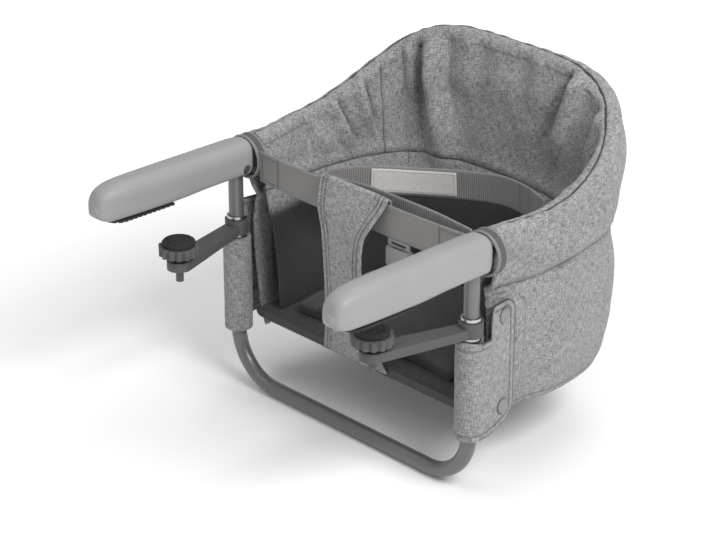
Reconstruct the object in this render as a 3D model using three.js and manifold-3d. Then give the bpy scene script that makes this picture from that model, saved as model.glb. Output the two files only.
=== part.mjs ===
// Hook-on table chair: a child's seat of tube and padded fabric that hangs from the edge of a table.
// Units are millimetres, +Z is up, -Y points over the table and +X is the child's left side.
// The origin lies on the plane of the table top, midway between the two uprights, on their axis plane.
import * as THREE from 'three';
import { mergeVertices } from 'three/addons/utils/BufferGeometryUtils.js';
import Module from 'manifold-3d';

const wasm = await Module();
wasm.setup();

// Tube frame
const tubeDiameter = 16;
const armSpacing = 344;
const hoopAxisHeight = 31;
const hoopFrontReach = 150;
const hoopHalfWidth = 180;
const hoopDepth = 250;
const hoopRise = 89;
const hoopStart = 26;
const hoopFlareLength = 70;
const hoopCornerPower = 4.4;
const hoopRisePower = 3;
const crossbarDepth = 230;
const crossbarBendRadius = 56;

// Arm covers and their rubber pads
const armReach = 188;
const armRearReach = 10;
const armWidth = 39;
const armHeight = 41;
const armRearRise = 5;
const padThickness = 3;
const padRibDepth = 1.2;
const padRibPitch = 6;
const padRibGroove = 2.4;
const padInset = 3.5;
const padReach = 92;

// Fold hinge inside the rear end of each arm cover
const hingeAxisHeight = 12.5;
const hingeEyeRadius = 8;
const hingePinRadius = 3;
const hingePinHeadRadius = 5;
const hingePinHeadLength = 2;
const hingeWallOutside = 4;
const tubeTopHeight = 1.5;
const pinHeadRecess = 2;

// Under-table jaws with their screw grips
const tableThickness = 32;
const jawReach = 104;
const jawInset = 30;
const jawThickness = 10;
const jawTopDepth = 53.5;
const jawCollarRadius = 12.5;
const jawCollarHeight = 16;
const jawBossRadius = 13;
const jawRootWidth = 17;
const jawPocketWall = 3;
const jawPocketDepth = 3.5;
const collarRingRadius = 10.5;
const collarRingHeight = 4;
const gripPadRadius = 17;
const gripPadThickness = 5;
const gripPadGrooveDepth = 1.2;
const gripPadGrooveWidth = 2;
const gripKnobRadius = 21;
const gripKnobThickness = 10;
const gripKnobFluteRadius = 3;
const gripKnobFlutes = 14;
const gripStudRadius = 4;
const gripStudDrop = 14;
const gripSwivelRadius = 5;
const gripSwivelLength = 3;

// Fabric seat
const rimRollRadius = 11.5;
const fabricThickness = 3;
const waistDepth = 30;
const waistInset = 5;
const seatFullness = 8;
const fullnessReach = 90;
const pouchBulge = 4;
const pouchBottomInset = 16;
const bandBulge = 9;
const seatBottomDepth = 160;
const sideDrop = 15;
const sideDropReach = 70;
const liningThickness = 6;
const liningBottomInset = 34;
const liningFoldDepth = 9;
const sideFoldDepth = 3;
const seatBaseThickness = 9;
const seatBaseEdge = 8;
const seatFrontStart = 12;
const seatPadThickness = 14;
const seatPadInset = 48;
const seatPadCrown = 5;
const seatPadFront = 28;

// Side sleeves that button round the uprights
const sleeveRadius = 15;
const sleeveTopDepth = 69;
const sleeveThickness = 2.4;
const flapReach = 56;
const flapTopDepth = 35;
const flapBottomRise = 14;
const flapCornerRadius = 16;
const flapStandOff = 3.2;
const snapCapRadius = 7.5;
const snapCapThickness = 2.2;
const snapFromFlapEdge = 22;
const snapTopDepth = 50;
const snapAboveSleeveEnd = 25;

// Webbing and buckle
const webbingWidth = 33;
const webbingThickness = 2.2;
const strapTopHeight = 31;
const strapBow = 4;
const strapRootBehind = 14;
const loopWidth = 13;
const loopRadius = 21;
const loopThickness = 2.6;
const loopStart = 11.5;
const beltWidth = 32;
const beltRouteSizes = [
  [147.8, 23, 33], [100, 23, 36], [50, 23, 36], [0, 24, 34], [-45, 27, 28], [-78, 42, 20], [-92, 75, 12],
  [-82, 118, 5], [-54, 150, 2], [-5, 168, 8], [51, 170, 18], [105, 150, 28], [142, 124, 38],
  [158.2, 115.4, 41],
];
const crotchThickness = 4;
const crotchRouteSizes = [
  [9.4, -156, 46], [0, -120, 34], [-6, -80, 28], [-9, -40, 27], [-9, -10, 30], [-6, 8, 38], [1, 22, 44],
];
const crotchTabHalfWidth = 47;
const crotchEdgeShare = 0.45;
const crotchBackShare = 0.4;
const buckleWidth = 30;
const buckleLength = 32;
const buckleThickness = 9;

// Clearances and shared small sizes
const seatGap = 0.3;
const runningClearance = 0.4;
const softGap = 0.6;
const cutOverrun = 4;
const weldDistance = 0.001;

// Derived places
const tubeRadius = tubeDiameter / 2;
const armCentre = armSpacing / 2;
const armLength = armReach + armRearReach;
const liningTopInset = rimRollRadius + seatGap;
const liningRise = seatBaseThickness + seatGap;
const sleeveBottomDepth = crossbarDepth - crossbarBendRadius;
const snapBottomDepth = sleeveBottomDepth - snapAboveSleeveEnd;
const seatBaseInset = pouchBottomInset / 2 + 2 * fabricThickness + 2 * softGap;

// Colours of the finishes
const plastic = { color: 0xacacaa, roughness: 0.45, metalness: 0 };
const paintedSteel = { color: 0x7f8080, roughness: 0.4, metalness: 0.3 };
const bareSteel = { color: 0xb5b6b8, roughness: 0.35, metalness: 1 };
const rubber = { color: 0x2b2c2e, roughness: 0.8, metalness: 0 };
const greyNylon = { color: 0x57585a, roughness: 0.6, metalness: 0 };
const outerFabric = { color: 0x9a9c9d, roughness: 0.95, metalness: 0 };
const liningFabric = { color: 0x8b8d8e, roughness: 0.95, metalness: 0 };
const baseFabric = { color: 0x4d4f51, roughness: 0.9, metalness: 0 };
const webbing = { color: 0x7c7c75, roughness: 0.85, metalness: 0 };
const snapMetal = { color: 0xa5a49e, roughness: 0.4, metalness: 0.2 };
const buckleGrey = { color: 0xa0a09c, roughness: 0.4, metalness: 0 };

const chair = new THREE.Group();

function addPiece(name, geometry, finish) {
  const mesh = new THREE.Mesh(geometry, new THREE.MeshStandardMaterial(finish));
  mesh.name = name;
  chair.add(mesh);
  return mesh;
}

// Both sides of the chair: the name's first word and the sign of X.
const sides = [
  { side: 'left', sign: 1 },
  { side: 'right', sign: -1 },
];

// Geometry helpers

function signedVolume(positions, triangles) {
  const corner = (index) => new THREE.Vector3().fromArray(positions, index * 3);
  let volume = 0;
  for (let i = 0; i < triangles.length; i += 3) {
    const a = corner(triangles[i]);
    const b = corner(triangles[i + 1]);
    volume += a.dot(b.cross(corner(triangles[i + 2])));
  }
  return volume;
}

// A closed body from points and triangles, turned so that its faces point out.
function closedBody(points, triangles) {
  const positions = points.flatMap((point) => [point.x, point.y, point.z]);
  if (signedVolume(positions, triangles) < 0) {
    for (let i = 0; i < triangles.length; i += 3) {
      [triangles[i], triangles[i + 1]] = [triangles[i + 1], triangles[i]];
    }
  }
  const geometry = new THREE.BufferGeometry();
  geometry.setAttribute('position', new THREE.Float32BufferAttribute(positions, 3));
  geometry.setIndex(triangles);
  return mergeVertices(geometry, weldDistance);
}

const turnSign = (points) => Math.sign(THREE.ShapeUtils.area(points));

// Skins a row of closed rings with equal point counts and closes both ends. A profile gives each ring's
// shape in two dimensions, which the end caps need where the ring isn't convex.
function loft(rings, profile) {
  const count = rings[0].length;
  const points = rings.flat();
  const triangles = [];
  for (let r = 0; r + 1 < rings.length; r += 1) {
    for (let i = 0; i < count; i += 1) {
      const a = r * count + i;
      const b = r * count + ((i + 1) % count);
      triangles.push(a, b, b + count, a, b + count, a + count);
    }
  }
  const last = (rings.length - 1) * count;
  if (profile) {
    for (const [a, b, c] of THREE.ShapeUtils.triangulateShape(profile, [])) {
      const same = turnSign([profile[a], profile[b], profile[c]]) === turnSign(profile);
      const [first, second, third] = same ? [a, b, c] : [a, c, b];
      triangles.push(first, third, second, last + first, last + second, last + third);
    }
  } else {
    for (const [start, ring, turn] of [[0, rings[0], 1], [last, rings[rings.length - 1], -1]]) {
      const middle = ring.reduce((sum, p) => sum.add(p), new THREE.Vector3()).divideScalar(count);
      points.push(middle);
      const hub = points.length - 1;
      for (let i = 0; i < count; i += 1) {
        const a = start + i;
        const b = start + ((i + 1) % count);
        if (turn > 0) triangles.push(b, a, hub);
        else triangles.push(a, b, hub);
      }
    }
  }
  return closedBody(points, triangles);
}

function welded(geometry) {
  const plain = geometry.clone();
  plain.deleteAttribute('normal');
  plain.deleteAttribute('uv');
  return mergeVertices(plain, weldDistance);
}

function toSolid(geometry) {
  const merged = welded(geometry);
  return new wasm.Manifold(new wasm.Mesh({
    numProp: 3,
    vertProperties: new Float32Array(merged.attributes.position.array),
    triVerts: new Uint32Array(merged.index.array),
  }));
}

function fromSolid(solid) {
  const mesh = solid.getMesh();
  const geometry = new THREE.BufferGeometry();
  geometry.setAttribute('position', new THREE.BufferAttribute(new Float32Array(mesh.vertProperties), 3));
  geometry.setIndex(new THREE.BufferAttribute(new Uint32Array(mesh.triVerts), 1));
  return mergeVertices(geometry, weldDistance);
}

function cut(geometry, ...tools) {
  return fromSolid(tools.reduce((solid, tool) => solid.subtract(toSolid(tool)), toSolid(geometry)));
}

function join(geometry, ...others) {
  return fromSolid(others.reduce((solid, other) => solid.add(toSolid(other)), toSolid(geometry)));
}

function mirrorX(geometry) {
  const mirrored = welded(geometry);
  mirrored.scale(-1, 1, 1);
  const index = mirrored.index.array;
  for (let i = 0; i < index.length; i += 3) [index[i], index[i + 1]] = [index[i + 1], index[i]];
  return mirrored;
}

// A cylinder between two heights of an axis along X, Y or Z through a place.
function rod(axis, radius, from, to, place, segments = 24) {
  const geometry = new THREE.CylinderGeometry(radius, radius, to - from, segments);
  if (axis === 'x') geometry.rotateZ(-Math.PI / 2);
  if (axis === 'z') geometry.rotateX(Math.PI / 2);
  const middle = (from + to) / 2;
  const shift = place.clone();
  shift[axis] = middle;
  return geometry.translate(shift.x, shift.y, shift.z);
}

function block(low, high) {
  const size = high.clone().sub(low);
  const middle = low.clone().add(high).multiplyScalar(0.5);
  return new THREE.BoxGeometry(size.x, size.y, size.z).translate(middle.x, middle.y, middle.z);
}

// A flat outline in X and Y given a thickness along Z, from a base height up.
function plate(shape, base, thickness, curveSegments = 10) {
  const settings = { depth: thickness, bevelEnabled: false, curveSegments };
  return new THREE.ExtrudeGeometry(shape, settings).translate(0, 0, base);
}

const vector = (x, y, z) => new THREE.Vector3(x, y, z);
const smooth = (share) => THREE.MathUtils.smoothstep(share, 0, 1);
const mix = (a, b, share) => a + (b - a) * share;

// A route made of stations, each with its own direction, so that straight runs need only two rings.
class TubeRoute extends THREE.Curve {
  constructor(stations, directions) {
    super();
    this.stations = stations;
    this.directions = directions;
  }

  static through(points) {
    const last = points.length - 1;
    const directions = points.map((point, i) => {
      const before = points[Math.max(i - 1, 0)];
      const after = points[Math.min(i + 1, last)];
      return after.clone().sub(before).normalize();
    });
    return new TubeRoute(points, directions);
  }

  static from(start, direction) {
    return new TubeRoute([start.clone()], [direction.clone().normalize()]);
  }

  straight(length) {
    const here = this.stations[this.stations.length - 1];
    const direction = this.directions[this.directions.length - 1];
    this.stations.push(here.clone().addScaledVector(direction, length));
    this.directions.push(direction.clone());
    return this;
  }

  bend(axis, angle, radius, steps) {
    const here = this.stations[this.stations.length - 1];
    const direction = this.directions[this.directions.length - 1];
    const toCentre = axis.clone().cross(direction).setLength(radius);
    const centre = here.clone().add(toCentre);
    for (let i = 1; i <= steps; i += 1) {
      const turn = new THREE.Quaternion().setFromAxisAngle(axis, (angle * i) / steps);
      this.stations.push(centre.clone().sub(toCentre.clone().applyQuaternion(turn)));
      this.directions.push(direction.clone().applyQuaternion(turn));
    }
    return this;
  }

  get steps() {
    return this.stations.length - 1;
  }

  getSpacedPoints() {
    return this.stations;
  }

  getPoint(share, target = new THREE.Vector3()) {
    return target.copy(this.stations[Math.round(share * this.steps)]);
  }

  getPointAt(share, target) {
    return this.getPoint(share, target);
  }

  getTangentAt(share, target = new THREE.Vector3()) {
    return target.copy(this.directions[Math.round(share * this.steps)]);
  }
}

function regularSection(radius, count) {
  const points = Array.from({ length: count }, (_, i) => {
    const angle = (2 * Math.PI * i) / count;
    return new THREE.Vector2(radius * Math.cos(angle), radius * Math.sin(angle));
  });
  return new THREE.Shape(points);
}

function tube(route, radius, sidesCount) {
  const settings = { steps: route.steps, extrudePath: route, bevelEnabled: false };
  return new THREE.ExtrudeGeometry(regularSection(radius, sidesCount), settings);
}

// The plan of the hoop, which the rim, the wall and the lining of the seat follow. It runs straight back
// from the arms, flares a little, and closes in a squarish curve behind the child. Each station has its
// place on the hoop's axis, its outward normal in plan, its share of the way round and the stretch that
// keeps a section in an upright plane round about the sloping axis.
function hoopHeight(y) {
  const back = THREE.MathUtils.clamp((y - hoopStart) / (hoopDepth - hoopStart), 0, 1);
  return hoopAxisHeight + hoopRise * back ** hoopRisePower;
}

function hoopPlan(fine) {
  const exponent = 2 / hoopCornerPower;
  const curve = Array.from({ length: fine + 1 }, (_, i) => {
    const angle = (Math.PI * i) / fine;
    const y = mix(hoopStart, hoopDepth, Math.sin(angle) ** exponent);
    const half = mix(armCentre, hoopHalfWidth, smooth((y - hoopStart) / hoopFlareLength));
    return vector(half * Math.sign(Math.cos(angle)) * Math.abs(Math.cos(angle)) ** exponent, y, 0);
  });
  return [vector(armCentre, 0, 0), ...curve, vector(-armCentre, 0, 0)];
}

function hoopStations(count, start) {
  const dense = hoopPlan(1600);
  const travelled = [0];
  for (let i = 1; i < dense.length; i += 1) {
    travelled.push(travelled[i - 1] + dense[i].distanceTo(dense[i - 1]));
  }
  const total = travelled[travelled.length - 1];
  let seek = 0;
  return Array.from({ length: count }, (_, k) => {
    const share = k / (count - 1);
    const goal = mix(start, total - start, share);
    while (seek < dense.length - 2 && travelled[seek + 1] <= goal) seek += 1;
    const span = travelled[seek + 1] - travelled[seek];
    const part = THREE.MathUtils.clamp((goal - travelled[seek]) / span, 0, 1);
    const [here, next] = [dense[seek], dense[seek + 1]];
    const place = here.clone().lerp(next, part);
    const along = next.clone().sub(here).normalize();
    const slope = (hoopHeight(next.y) - hoopHeight(here.y)) / span;
    place.z = hoopHeight(place.y);
    return { place, normal: vector(along.y, -along.x, 0), share, stretch: Math.hypot(1, slope) };
  });
}

const wallStations = hoopStations(39, hoopStart);

// Back hoop: one tube from inside the left arm, round behind the child, into the right arm.
function backHoop() {
  const round = wallStations.map((station) => station.place);
  const front = [hoopFrontReach, 0].map((reach) => vector(armCentre, -reach, hoopAxisHeight));
  const frontRight = front.map((point) => vector(-point.x, point.y, point.z)).reverse();
  return tube(TubeRoute.through([...front, ...round, ...frontRight]), tubeRadius, 12);
}

// A profile in Y and Z given a width across X, centred on a place along X.
function acrossX(shape, width, centre, curveSegments = 8) {
  const settings = { depth: width, bevelEnabled: false, curveSegments };
  const geometry = new THREE.ExtrudeGeometry(shape, settings).translate(0, 0, -width / 2);
  const turn = new THREE.Matrix4().makeBasis(vector(0, 1, 0), vector(0, 0, 1), vector(1, 0, 0));
  return geometry.applyMatrix4(turn).translate(centre, 0, 0);
}

function polygon(points) {
  return new THREE.Shape(points.map(([x, y]) => new THREE.Vector2(x, y)));
}

// Arm cover: a moulded shell lofted from its blunt nose to its rounded rear end. The shares are those of
// the arm's length, half width, height and rear rise at each section.
const armLengthShares = [0, 0.012, 0.035, 0.075, 0.14, 0.24, 0.38, 0.52, 0.66, 0.8, 0.92, 0.975, 1];
const armWidthShares = [0.36, 0.54, 0.67, 0.77, 0.86, 0.93, 0.97, 1, 1, 1, 1, 0.96, 0.84];
const armTopShares = [0.5, 0.7, 0.84, 0.935, 0.985, 1, 1, 1, 1, 1, 1, 0.995, 0.985];
const armNoseLiftShares = [0.2, 0.1, 0.04, 0, 0, 0, 0, 0, 0, 0, 0, 0, 0.1];
const armRearRiseShares = [0, 0, 0, 0, 0, 0, 0, 0.1, 0.7, 1, 1, 1, 1];
const armTopPower = 2.7;
const armBottomPower = 6;

function armSection(index, count) {
  const y = -armReach + armLength * armLengthShares[index];
  const half = (armWidth / 2) * armWidthShares[index];
  const top = armHeight * armTopShares[index];
  const rise = mix(padThickness, armRearRise, armRearRiseShares[index]);
  const bottom = rise + armHeight * armNoseLiftShares[index];
  const middle = (top + bottom) / 2;
  return Array.from({ length: count }, (_, i) => {
    const angle = (2 * Math.PI * (i + 0.5)) / count;
    const power = 2 / (Math.sin(angle) > 0 ? armTopPower : armBottomPower);
    const across = Math.sign(Math.cos(angle)) * Math.abs(Math.cos(angle)) ** power;
    const up = Math.sign(Math.sin(angle)) * Math.abs(Math.sin(angle)) ** power;
    return vector(armCentre + half * across, y, middle + ((top - bottom) / 2) * up);
  });
}

// Hinge pin: goes in from the inner face of the arm cover and stops in a blind bore short of the outer face.
const pinInner = armCentre - armWidth / 2 + pinHeadRecess;
const pinOuter = armCentre + armWidth / 2 - hingeWallOutside;

function hingePin() {
  const place = vector(0, 0, hingeAxisHeight);
  return join(
    rod('x', hingePinRadius, pinInner, pinOuter, place, 16),
    rod('x', hingePinHeadRadius, pinInner, pinInner + hingePinHeadLength, place, 16),
  );
}

const slotHalf = tubeRadius + runningClearance;
const slotFront = tubeRadius + 2 * runningClearance;

function armCover() {
  const body = loft(armLengthShares.map((_, index) => armSection(index, 28)));
  const rear = armRearReach + cutOverrun;
  const tools = [
    rod('y', tubeRadius + seatGap, -hoopFrontReach - seatGap, rear,
      vector(armCentre, 0, hoopAxisHeight), 12),
    block(
      vector(armCentre - slotHalf, -slotFront, -cutOverrun),
      vector(armCentre + slotHalf, rear, hingeAxisHeight + hingeEyeRadius + runningClearance),
    ),
    rod('x', hingePinRadius + seatGap, pinInner - cutOverrun, pinOuter + seatGap,
      vector(0, 0, hingeAxisHeight), 16),
    rod('x', hingePinHeadRadius + seatGap, pinInner - 2 * cutOverrun, pinInner + hingePinHeadLength + seatGap,
      vector(0, 0, hingeAxisHeight), 16),
  ];
  return cut(body, ...tools);
}

// Arm pad: a strip of rubber under the front half of the arm, ribbed across so that it grips the table.
function armPad() {
  const front = -armReach + armLength * armLengthShares[3];
  const rear = -armReach + padReach;
  const top = padThickness - seatGap;
  const outline = [[rear, 0], [rear, top], [front, top], [front, 0]];
  for (let y = front + padRibPitch; y < rear - padRibPitch / 2; y += padRibPitch) {
    outline.push([y - padRibGroove / 2, 0], [y, padRibDepth], [y + padRibGroove / 2, 0]);
  }
  const ribbed = acrossX(polygon(outline), armWidth, armCentre);
  const half = armWidth / 2 - padInset;
  const plan = new THREE.Shape();
  plan.moveTo(armCentre - half, rear);
  plan.lineTo(armCentre - half, front + half);
  plan.absarc(armCentre, front + half, half, Math.PI, 2 * Math.PI, false);
  plan.lineTo(armCentre + half, rear);
  const trim = plate(plan, -cutOverrun, padThickness + 2 * cutOverrun, 12);
  return fromSolid(toSolid(ribbed).intersect(toSolid(trim)));
}

// Hinge eye: closes the top of the upright and turns stiffly on the hinge pin.
function hingeEye() {
  const width = tubeDiameter - 2 * runningClearance;
  const place = vector(0, 0, hingeAxisHeight);
  const eye = rod('x', hingeEyeRadius, armCentre - width / 2, armCentre + width / 2, place, 24);
  const neck = rod('z', tubeRadius - runningClearance, tubeTopHeight + seatGap, hingeAxisHeight,
    vector(armCentre, 0, 0), 24);
  const bore = rod('x', hingePinRadius + seatGap, armCentre - width, armCentre + width, place, 16);
  return cut(join(eye, neck), bore);
}

// Lower frame: one tube down from the left arm, across under the child's legs and up to the right arm.
function lowerTube() {
  const quarter = Math.PI / 2;
  const rise = tubeTopHeight + crossbarDepth - crossbarBendRadius;
  const forward = vector(0, 1, 0);
  const route = TubeRoute.from(vector(armCentre, 0, tubeTopHeight), vector(0, 0, -1))
    .straight(rise)
    .bend(forward, quarter, crossbarBendRadius, 8)
    .straight(armSpacing - 2 * crossbarBendRadius)
    .bend(forward, quarter, crossbarBendRadius, 8)
    .straight(rise);
  return tube(route, tubeRadius, 16);
}

// Under-table jaw: a collar that turns on the upright, and an arm to the boss of the grip screw. The
// boss lies inboard of the arm above, so the jaws clear the sides of a narrow table.
const jawTop = -jawTopDepth;
const jawBottom = jawTop - jawThickness;
const bossX = armCentre - jawInset;
const bossY = -jawReach;
const jawAngle = Math.atan2(jawInset, jawReach);
const jawSpan = Math.hypot(jawInset, jawReach);
const collarTop = jawBottom + jawCollarHeight;

function inJawFrame(geometry) {
  return geometry.rotateZ(-jawAngle).translate(armCentre, 0, 0);
}

function jawArmOutline(margin) {
  const root = jawRootWidth / 2 - margin;
  const boss = jawBossRadius - margin;
  const start = margin > 0 ? -jawCollarRadius - margin : 0;
  const shape = new THREE.Shape();
  const end = margin > 0 ? -jawSpan + jawBossRadius + margin : -jawSpan;
  shape.moveTo(-root, start);
  shape.lineTo(-boss + margin / 2, end);
  if (margin > 0) shape.lineTo(boss - margin / 2, end);
  else shape.absarc(0, -jawSpan, boss, Math.PI, 2 * Math.PI, false);
  shape.lineTo(root, start);
  return shape;
}

function jaw() {
  const collar = rod('z', jawCollarRadius, jawBottom, collarTop, vector(armCentre, 0, 0), 28);
  const arm = inJawFrame(plate(jawArmOutline(0), jawBottom, jawThickness, 14));
  const hollow = jawArmOutline(jawPocketWall);
  const pocket = inJawFrame(plate(hollow, jawBottom - cutOverrun, jawPocketDepth + cutOverrun));
  const bore = rod('z', tubeRadius + runningClearance, jawBottom - cutOverrun, collarTop + cutOverrun,
    vector(armCentre, 0, 0), 28);
  const nut = rod('z', gripStudRadius + runningClearance, jawBottom - cutOverrun, jawTop + cutOverrun,
    vector(bossX, bossY, 0), 20);
  return cut(join(collar, arm), pocket, bore, nut);
}

// Collar rings: fixed to the upright above and below the jaw's collar, which turns between them.
function collarRing(bottom) {
  const place = vector(armCentre, 0, 0);
  return cut(
    rod('z', collarRingRadius, bottom, bottom + collarRingHeight, place, 24),
    rod('z', tubeRadius + seatGap, bottom - cutOverrun, bottom + collarRingHeight + cutOverrun, place, 24),
  );
}

// Grip screw: a fluted knob in one piece with its screw. It turns in the boss and lifts the rubber foot.
const gripPadBottom = -tableThickness - gripPadThickness;
const knobTop = gripPadBottom - seatGap;
const knobBottom = knobTop - gripKnobThickness;

function gripKnob() {
  const shape = new THREE.Shape();
  const flute = gripKnobFluteRadius;
  for (let i = 0; i < gripKnobFlutes; i += 1) {
    const angle = (2 * Math.PI * i) / gripKnobFlutes;
    const half = Math.asin(flute / gripKnobRadius);
    const next = (2 * Math.PI * (i + 1)) / gripKnobFlutes;
    for (const turn of [angle + half, next - half]) {
      const point = [bossX + gripKnobRadius * Math.cos(turn), bossY + gripKnobRadius * Math.sin(turn)];
      if (i === 0 && turn === angle + half) shape.moveTo(...point);
      else shape.lineTo(...point);
    }
    const deep = gripKnobRadius - flute;
    shape.lineTo(bossX + deep * Math.cos(next), bossY + deep * Math.sin(next));
  }
  const place = vector(bossX, bossY, 0);
  const wheel = plate(shape, knobBottom, gripKnobThickness);
  const stud = rod('z', gripStudRadius, jawBottom - gripStudDrop, knobBottom + cutOverrun, place, 20);
  const socket = rod('z', gripSwivelRadius + runningClearance, knobTop - gripSwivelLength - runningClearance,
    knobTop + cutOverrun, place, 20);
  return cut(join(wheel, stud), socket);
}

// Rubber foot on the knob: a disc with ring grooves, and a stub that swivels in the knob.
function gripPad() {
  const top = -tableThickness;
  const ring = gripPadRadius / 3;
  const groove = gripPadGrooveWidth / 2;
  const profile = [
    [0, gripPadBottom - gripSwivelLength], [gripSwivelRadius, gripPadBottom - gripSwivelLength],
    [gripSwivelRadius, gripPadBottom], [gripPadRadius, gripPadBottom],
    [gripPadRadius, top - gripPadGrooveDepth], [gripPadRadius - groove, top],
  ];
  for (const middle of [2 * ring, ring]) {
    profile.push([middle + groove, top], [middle, top - gripPadGrooveDepth], [middle - groove, top]);
  }
  profile.push([0, top]);
  const points = profile.map(([radius, height]) => new THREE.Vector2(radius, height));
  return new THREE.LatheGeometry(points, 28).rotateX(Math.PI / 2).translate(bossX, bossY, 0);
}

// Fabric seat. Its wall follows the hoop's plan. Each ring of the wall is a thin hook: it comes up outside
// the hoop, turns over it in a roll and ends inside it. Offsets are outward from the hoop's axis in plan.
// Vertical folds: narrow pleats at chosen shares of the way round, as in gathered fabric.
const liningFoldShares = [0.13, 0.2, 0.31, 0.385, 0.6, 0.7, 0.82, 0.9];
const liningFoldDepthShares = [0.55, 0.8, 0.6, 1, 0.5, 1, 0.7, 0.5];
const sideFoldShares = [0.12, 0.24, 0.36, 0.52, 0.66, 0.8, 0.92];
const liningFoldWidthShare = 0.016;
const liningHangShare = 1.15;
const liningHangPower = 0.8;
const sideFoldWidthShare = 0.022;
const sideFoldMeanShare = 0.4;
const pouchHeightShares = [0.08, 0.24, 0.5, 0.8];
const bandHeightShares = [0.25, 0.55];

function folds(share, places, widthShare, depths) {
  return places.reduce((sum, place, i) => {
    const away = (share - place) / widthShare;
    return sum + (depths ? depths[i] : 1) * Math.exp(-away * away);
  }, 0);
}

function ringPoint(station, offset, z) {
  return station.place.clone().setZ(z).addScaledVector(station.normal, offset);
}

const bottomZ = -seatBottomDepth;
const waistZ = -waistDepth;

// The cloth stands further out from the hoop behind the child than beside the arms.
function fullness(station) {
  return seatFullness * smooth((station.place.y - hoopStart) / fullnessReach);
}

function wallProfile(station) {
  const rollZ = station.place.z;
  const bottom = bottomZ - sideDrop * (1 - smooth((station.place.y - hoopStart) / sideDropReach));
  const full = fullness(station);
  const fold = sideFoldDepth * (folds(station.share, sideFoldShares, sideFoldWidthShare) - sideFoldMeanShare);
  const pouchZ = pouchHeightShares.map((share) => mix(bottomZ, waistZ, share));
  const bandZ = bandHeightShares.map((share) => mix(waistZ, rollZ, share));
  const outer = [
    [-pouchBottomInset, bottom],
    [-pouchBottomInset / 2, pouchZ[0]],
    [-pouchBottomInset / 5 + fold / 2, pouchZ[1]],
    [pouchBulge - waistInset / 2 + fold, pouchZ[2]],
    [pouchBulge - waistInset / 2 + fold, pouchZ[3]],
    [-waistInset, waistZ],
    [bandBulge - waistInset / 2 - fold / 2, bandZ[0]],
    [bandBulge - fold / 3, bandZ[1]],
  ].map(([offset, z]) => [offset + full, z]);
  const inner = outer.map(([offset, z]) => [offset - fabricThickness, z]).reverse();
  const arc = (radius, from, to, steps) => Array.from({ length: steps + 1 }, (_, i) => {
    const angle = mix(from, to, i / steps);
    return [radius * Math.cos(angle), rollZ + radius * station.stretch * Math.sin(angle)];
  });
  const roll = arc(rimRollRadius, 0, Math.PI, 7);
  const back = arc(rimRollRadius - fabricThickness, Math.PI, 0, 7);
  return [...outer, ...roll, ...back, ...inner];
}

function seatShell() {
  const rings = wallStations.map((station) => (
    wallProfile(station).map(([offset, z]) => ringPoint(station, offset, z))
  ));
  return loft(rings, wallProfile(wallStations[0]).map(([offset, z]) => new THREE.Vector2(offset, z)));
}

// Lining: the padded inner wall, which hangs from the roll's inner edge in soft vertical pleats.
function liningProfile(station, count) {
  const top = station.place.z;
  const bottom = bottomZ + liningRise;
  const gather = folds(station.share, liningFoldShares, liningFoldWidthShare, liningFoldDepthShares);
  const column = Array.from({ length: count }, (_, i) => {
    const share = i / (count - 1);
    const hang = Math.sin(Math.PI * Math.min(share * liningHangShare, 1)) ** liningHangPower;
    const inset = mix(liningBottomInset, liningTopInset, smooth(share)) + liningFoldDepth * gather * hang;
    return [-inset, mix(bottom, top, share)];
  });
  const inside = column.map(([offset, z]) => [offset - liningThickness, z]).reverse();
  return [...column, ...inside];
}

function seatLining() {
  const rings = wallStations.map((station) => (
    liningProfile(station, 10).map(([offset, z]) => ringPoint(station, offset, z))
  ));
  const end = liningProfile(wallStations[0], 10).map(([offset, z]) => new THREE.Vector2(offset, z));
  return loft(rings, end);
}

// A flat-bottomed body with the seat's plan: each level has its height and its inset from the hoop's plan.
function seatSlab(levels, front, outward = () => 0) {
  const stations = hoopStations(37, front);
  return loft(levels.map(([inset, z]) => (
    stations.map((station) => ringPoint(station, outward(station) - inset, z))
  )));
}

// Seat base: the stiff board in its cloth cover that closes the seat from below.
function seatBase() {
  const bottom = bottomZ;
  const top = bottom + seatBaseThickness;
  return seatSlab([
    [seatBaseInset + seatBaseEdge / 4, top],
    [seatBaseInset, top - seatBaseThickness / 4],
    [seatBaseInset + seatBaseEdge / 3, bottom + seatBaseThickness / 3],
    [seatBaseInset + seatBaseEdge, bottom],
  ], seatFrontStart, fullness);
}

// Seat pad: the crowned cushion inside, on the board, with sides drawn in under the crown.
function seatPad() {
  const bottom = bottomZ + seatBaseThickness + seatGap;
  const edge = seatPadThickness / 3;
  return seatSlab([
    [seatPadInset + edge, bottom],
    [seatPadInset, bottom + edge],
    [seatPadInset, bottom + 2 * edge],
    [seatPadInset + 2 * edge, bottom + seatPadThickness - edge / 4],
    [seatPadInset + 6 * edge, bottom + seatPadThickness + seatPadCrown / 2],
    [seatPadInset + 11 * edge, bottom + seatPadThickness + seatPadCrown],
  ], seatPadFront);
}

// Side sleeve: a padded channel round the upright, with a flap that lies on the seat's side and buttons
// to it. The flap's shares give how far back each section is, how its corners round off and how far its
// top edge drops to the channel's, in front, to leave the jaw's collar free.
const flapReachShares = [0, 0.29, 0.3, 0.6, 0.8, 0.93, 1];
const flapCornerShares = [0, 0, 0, 0, 0.12, 0.42, 1];
const flapShoulderShares = [1, 1, 0, 0, 0, 0, 0];
const flapFront = armCentre + sleeveRadius;

function flapOuter(y) {
  const rear = armCentre + pouchBulge + sleeveThickness + flapStandOff;
  return mix(flapFront, rear, smooth(y / flapReach));
}

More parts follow.
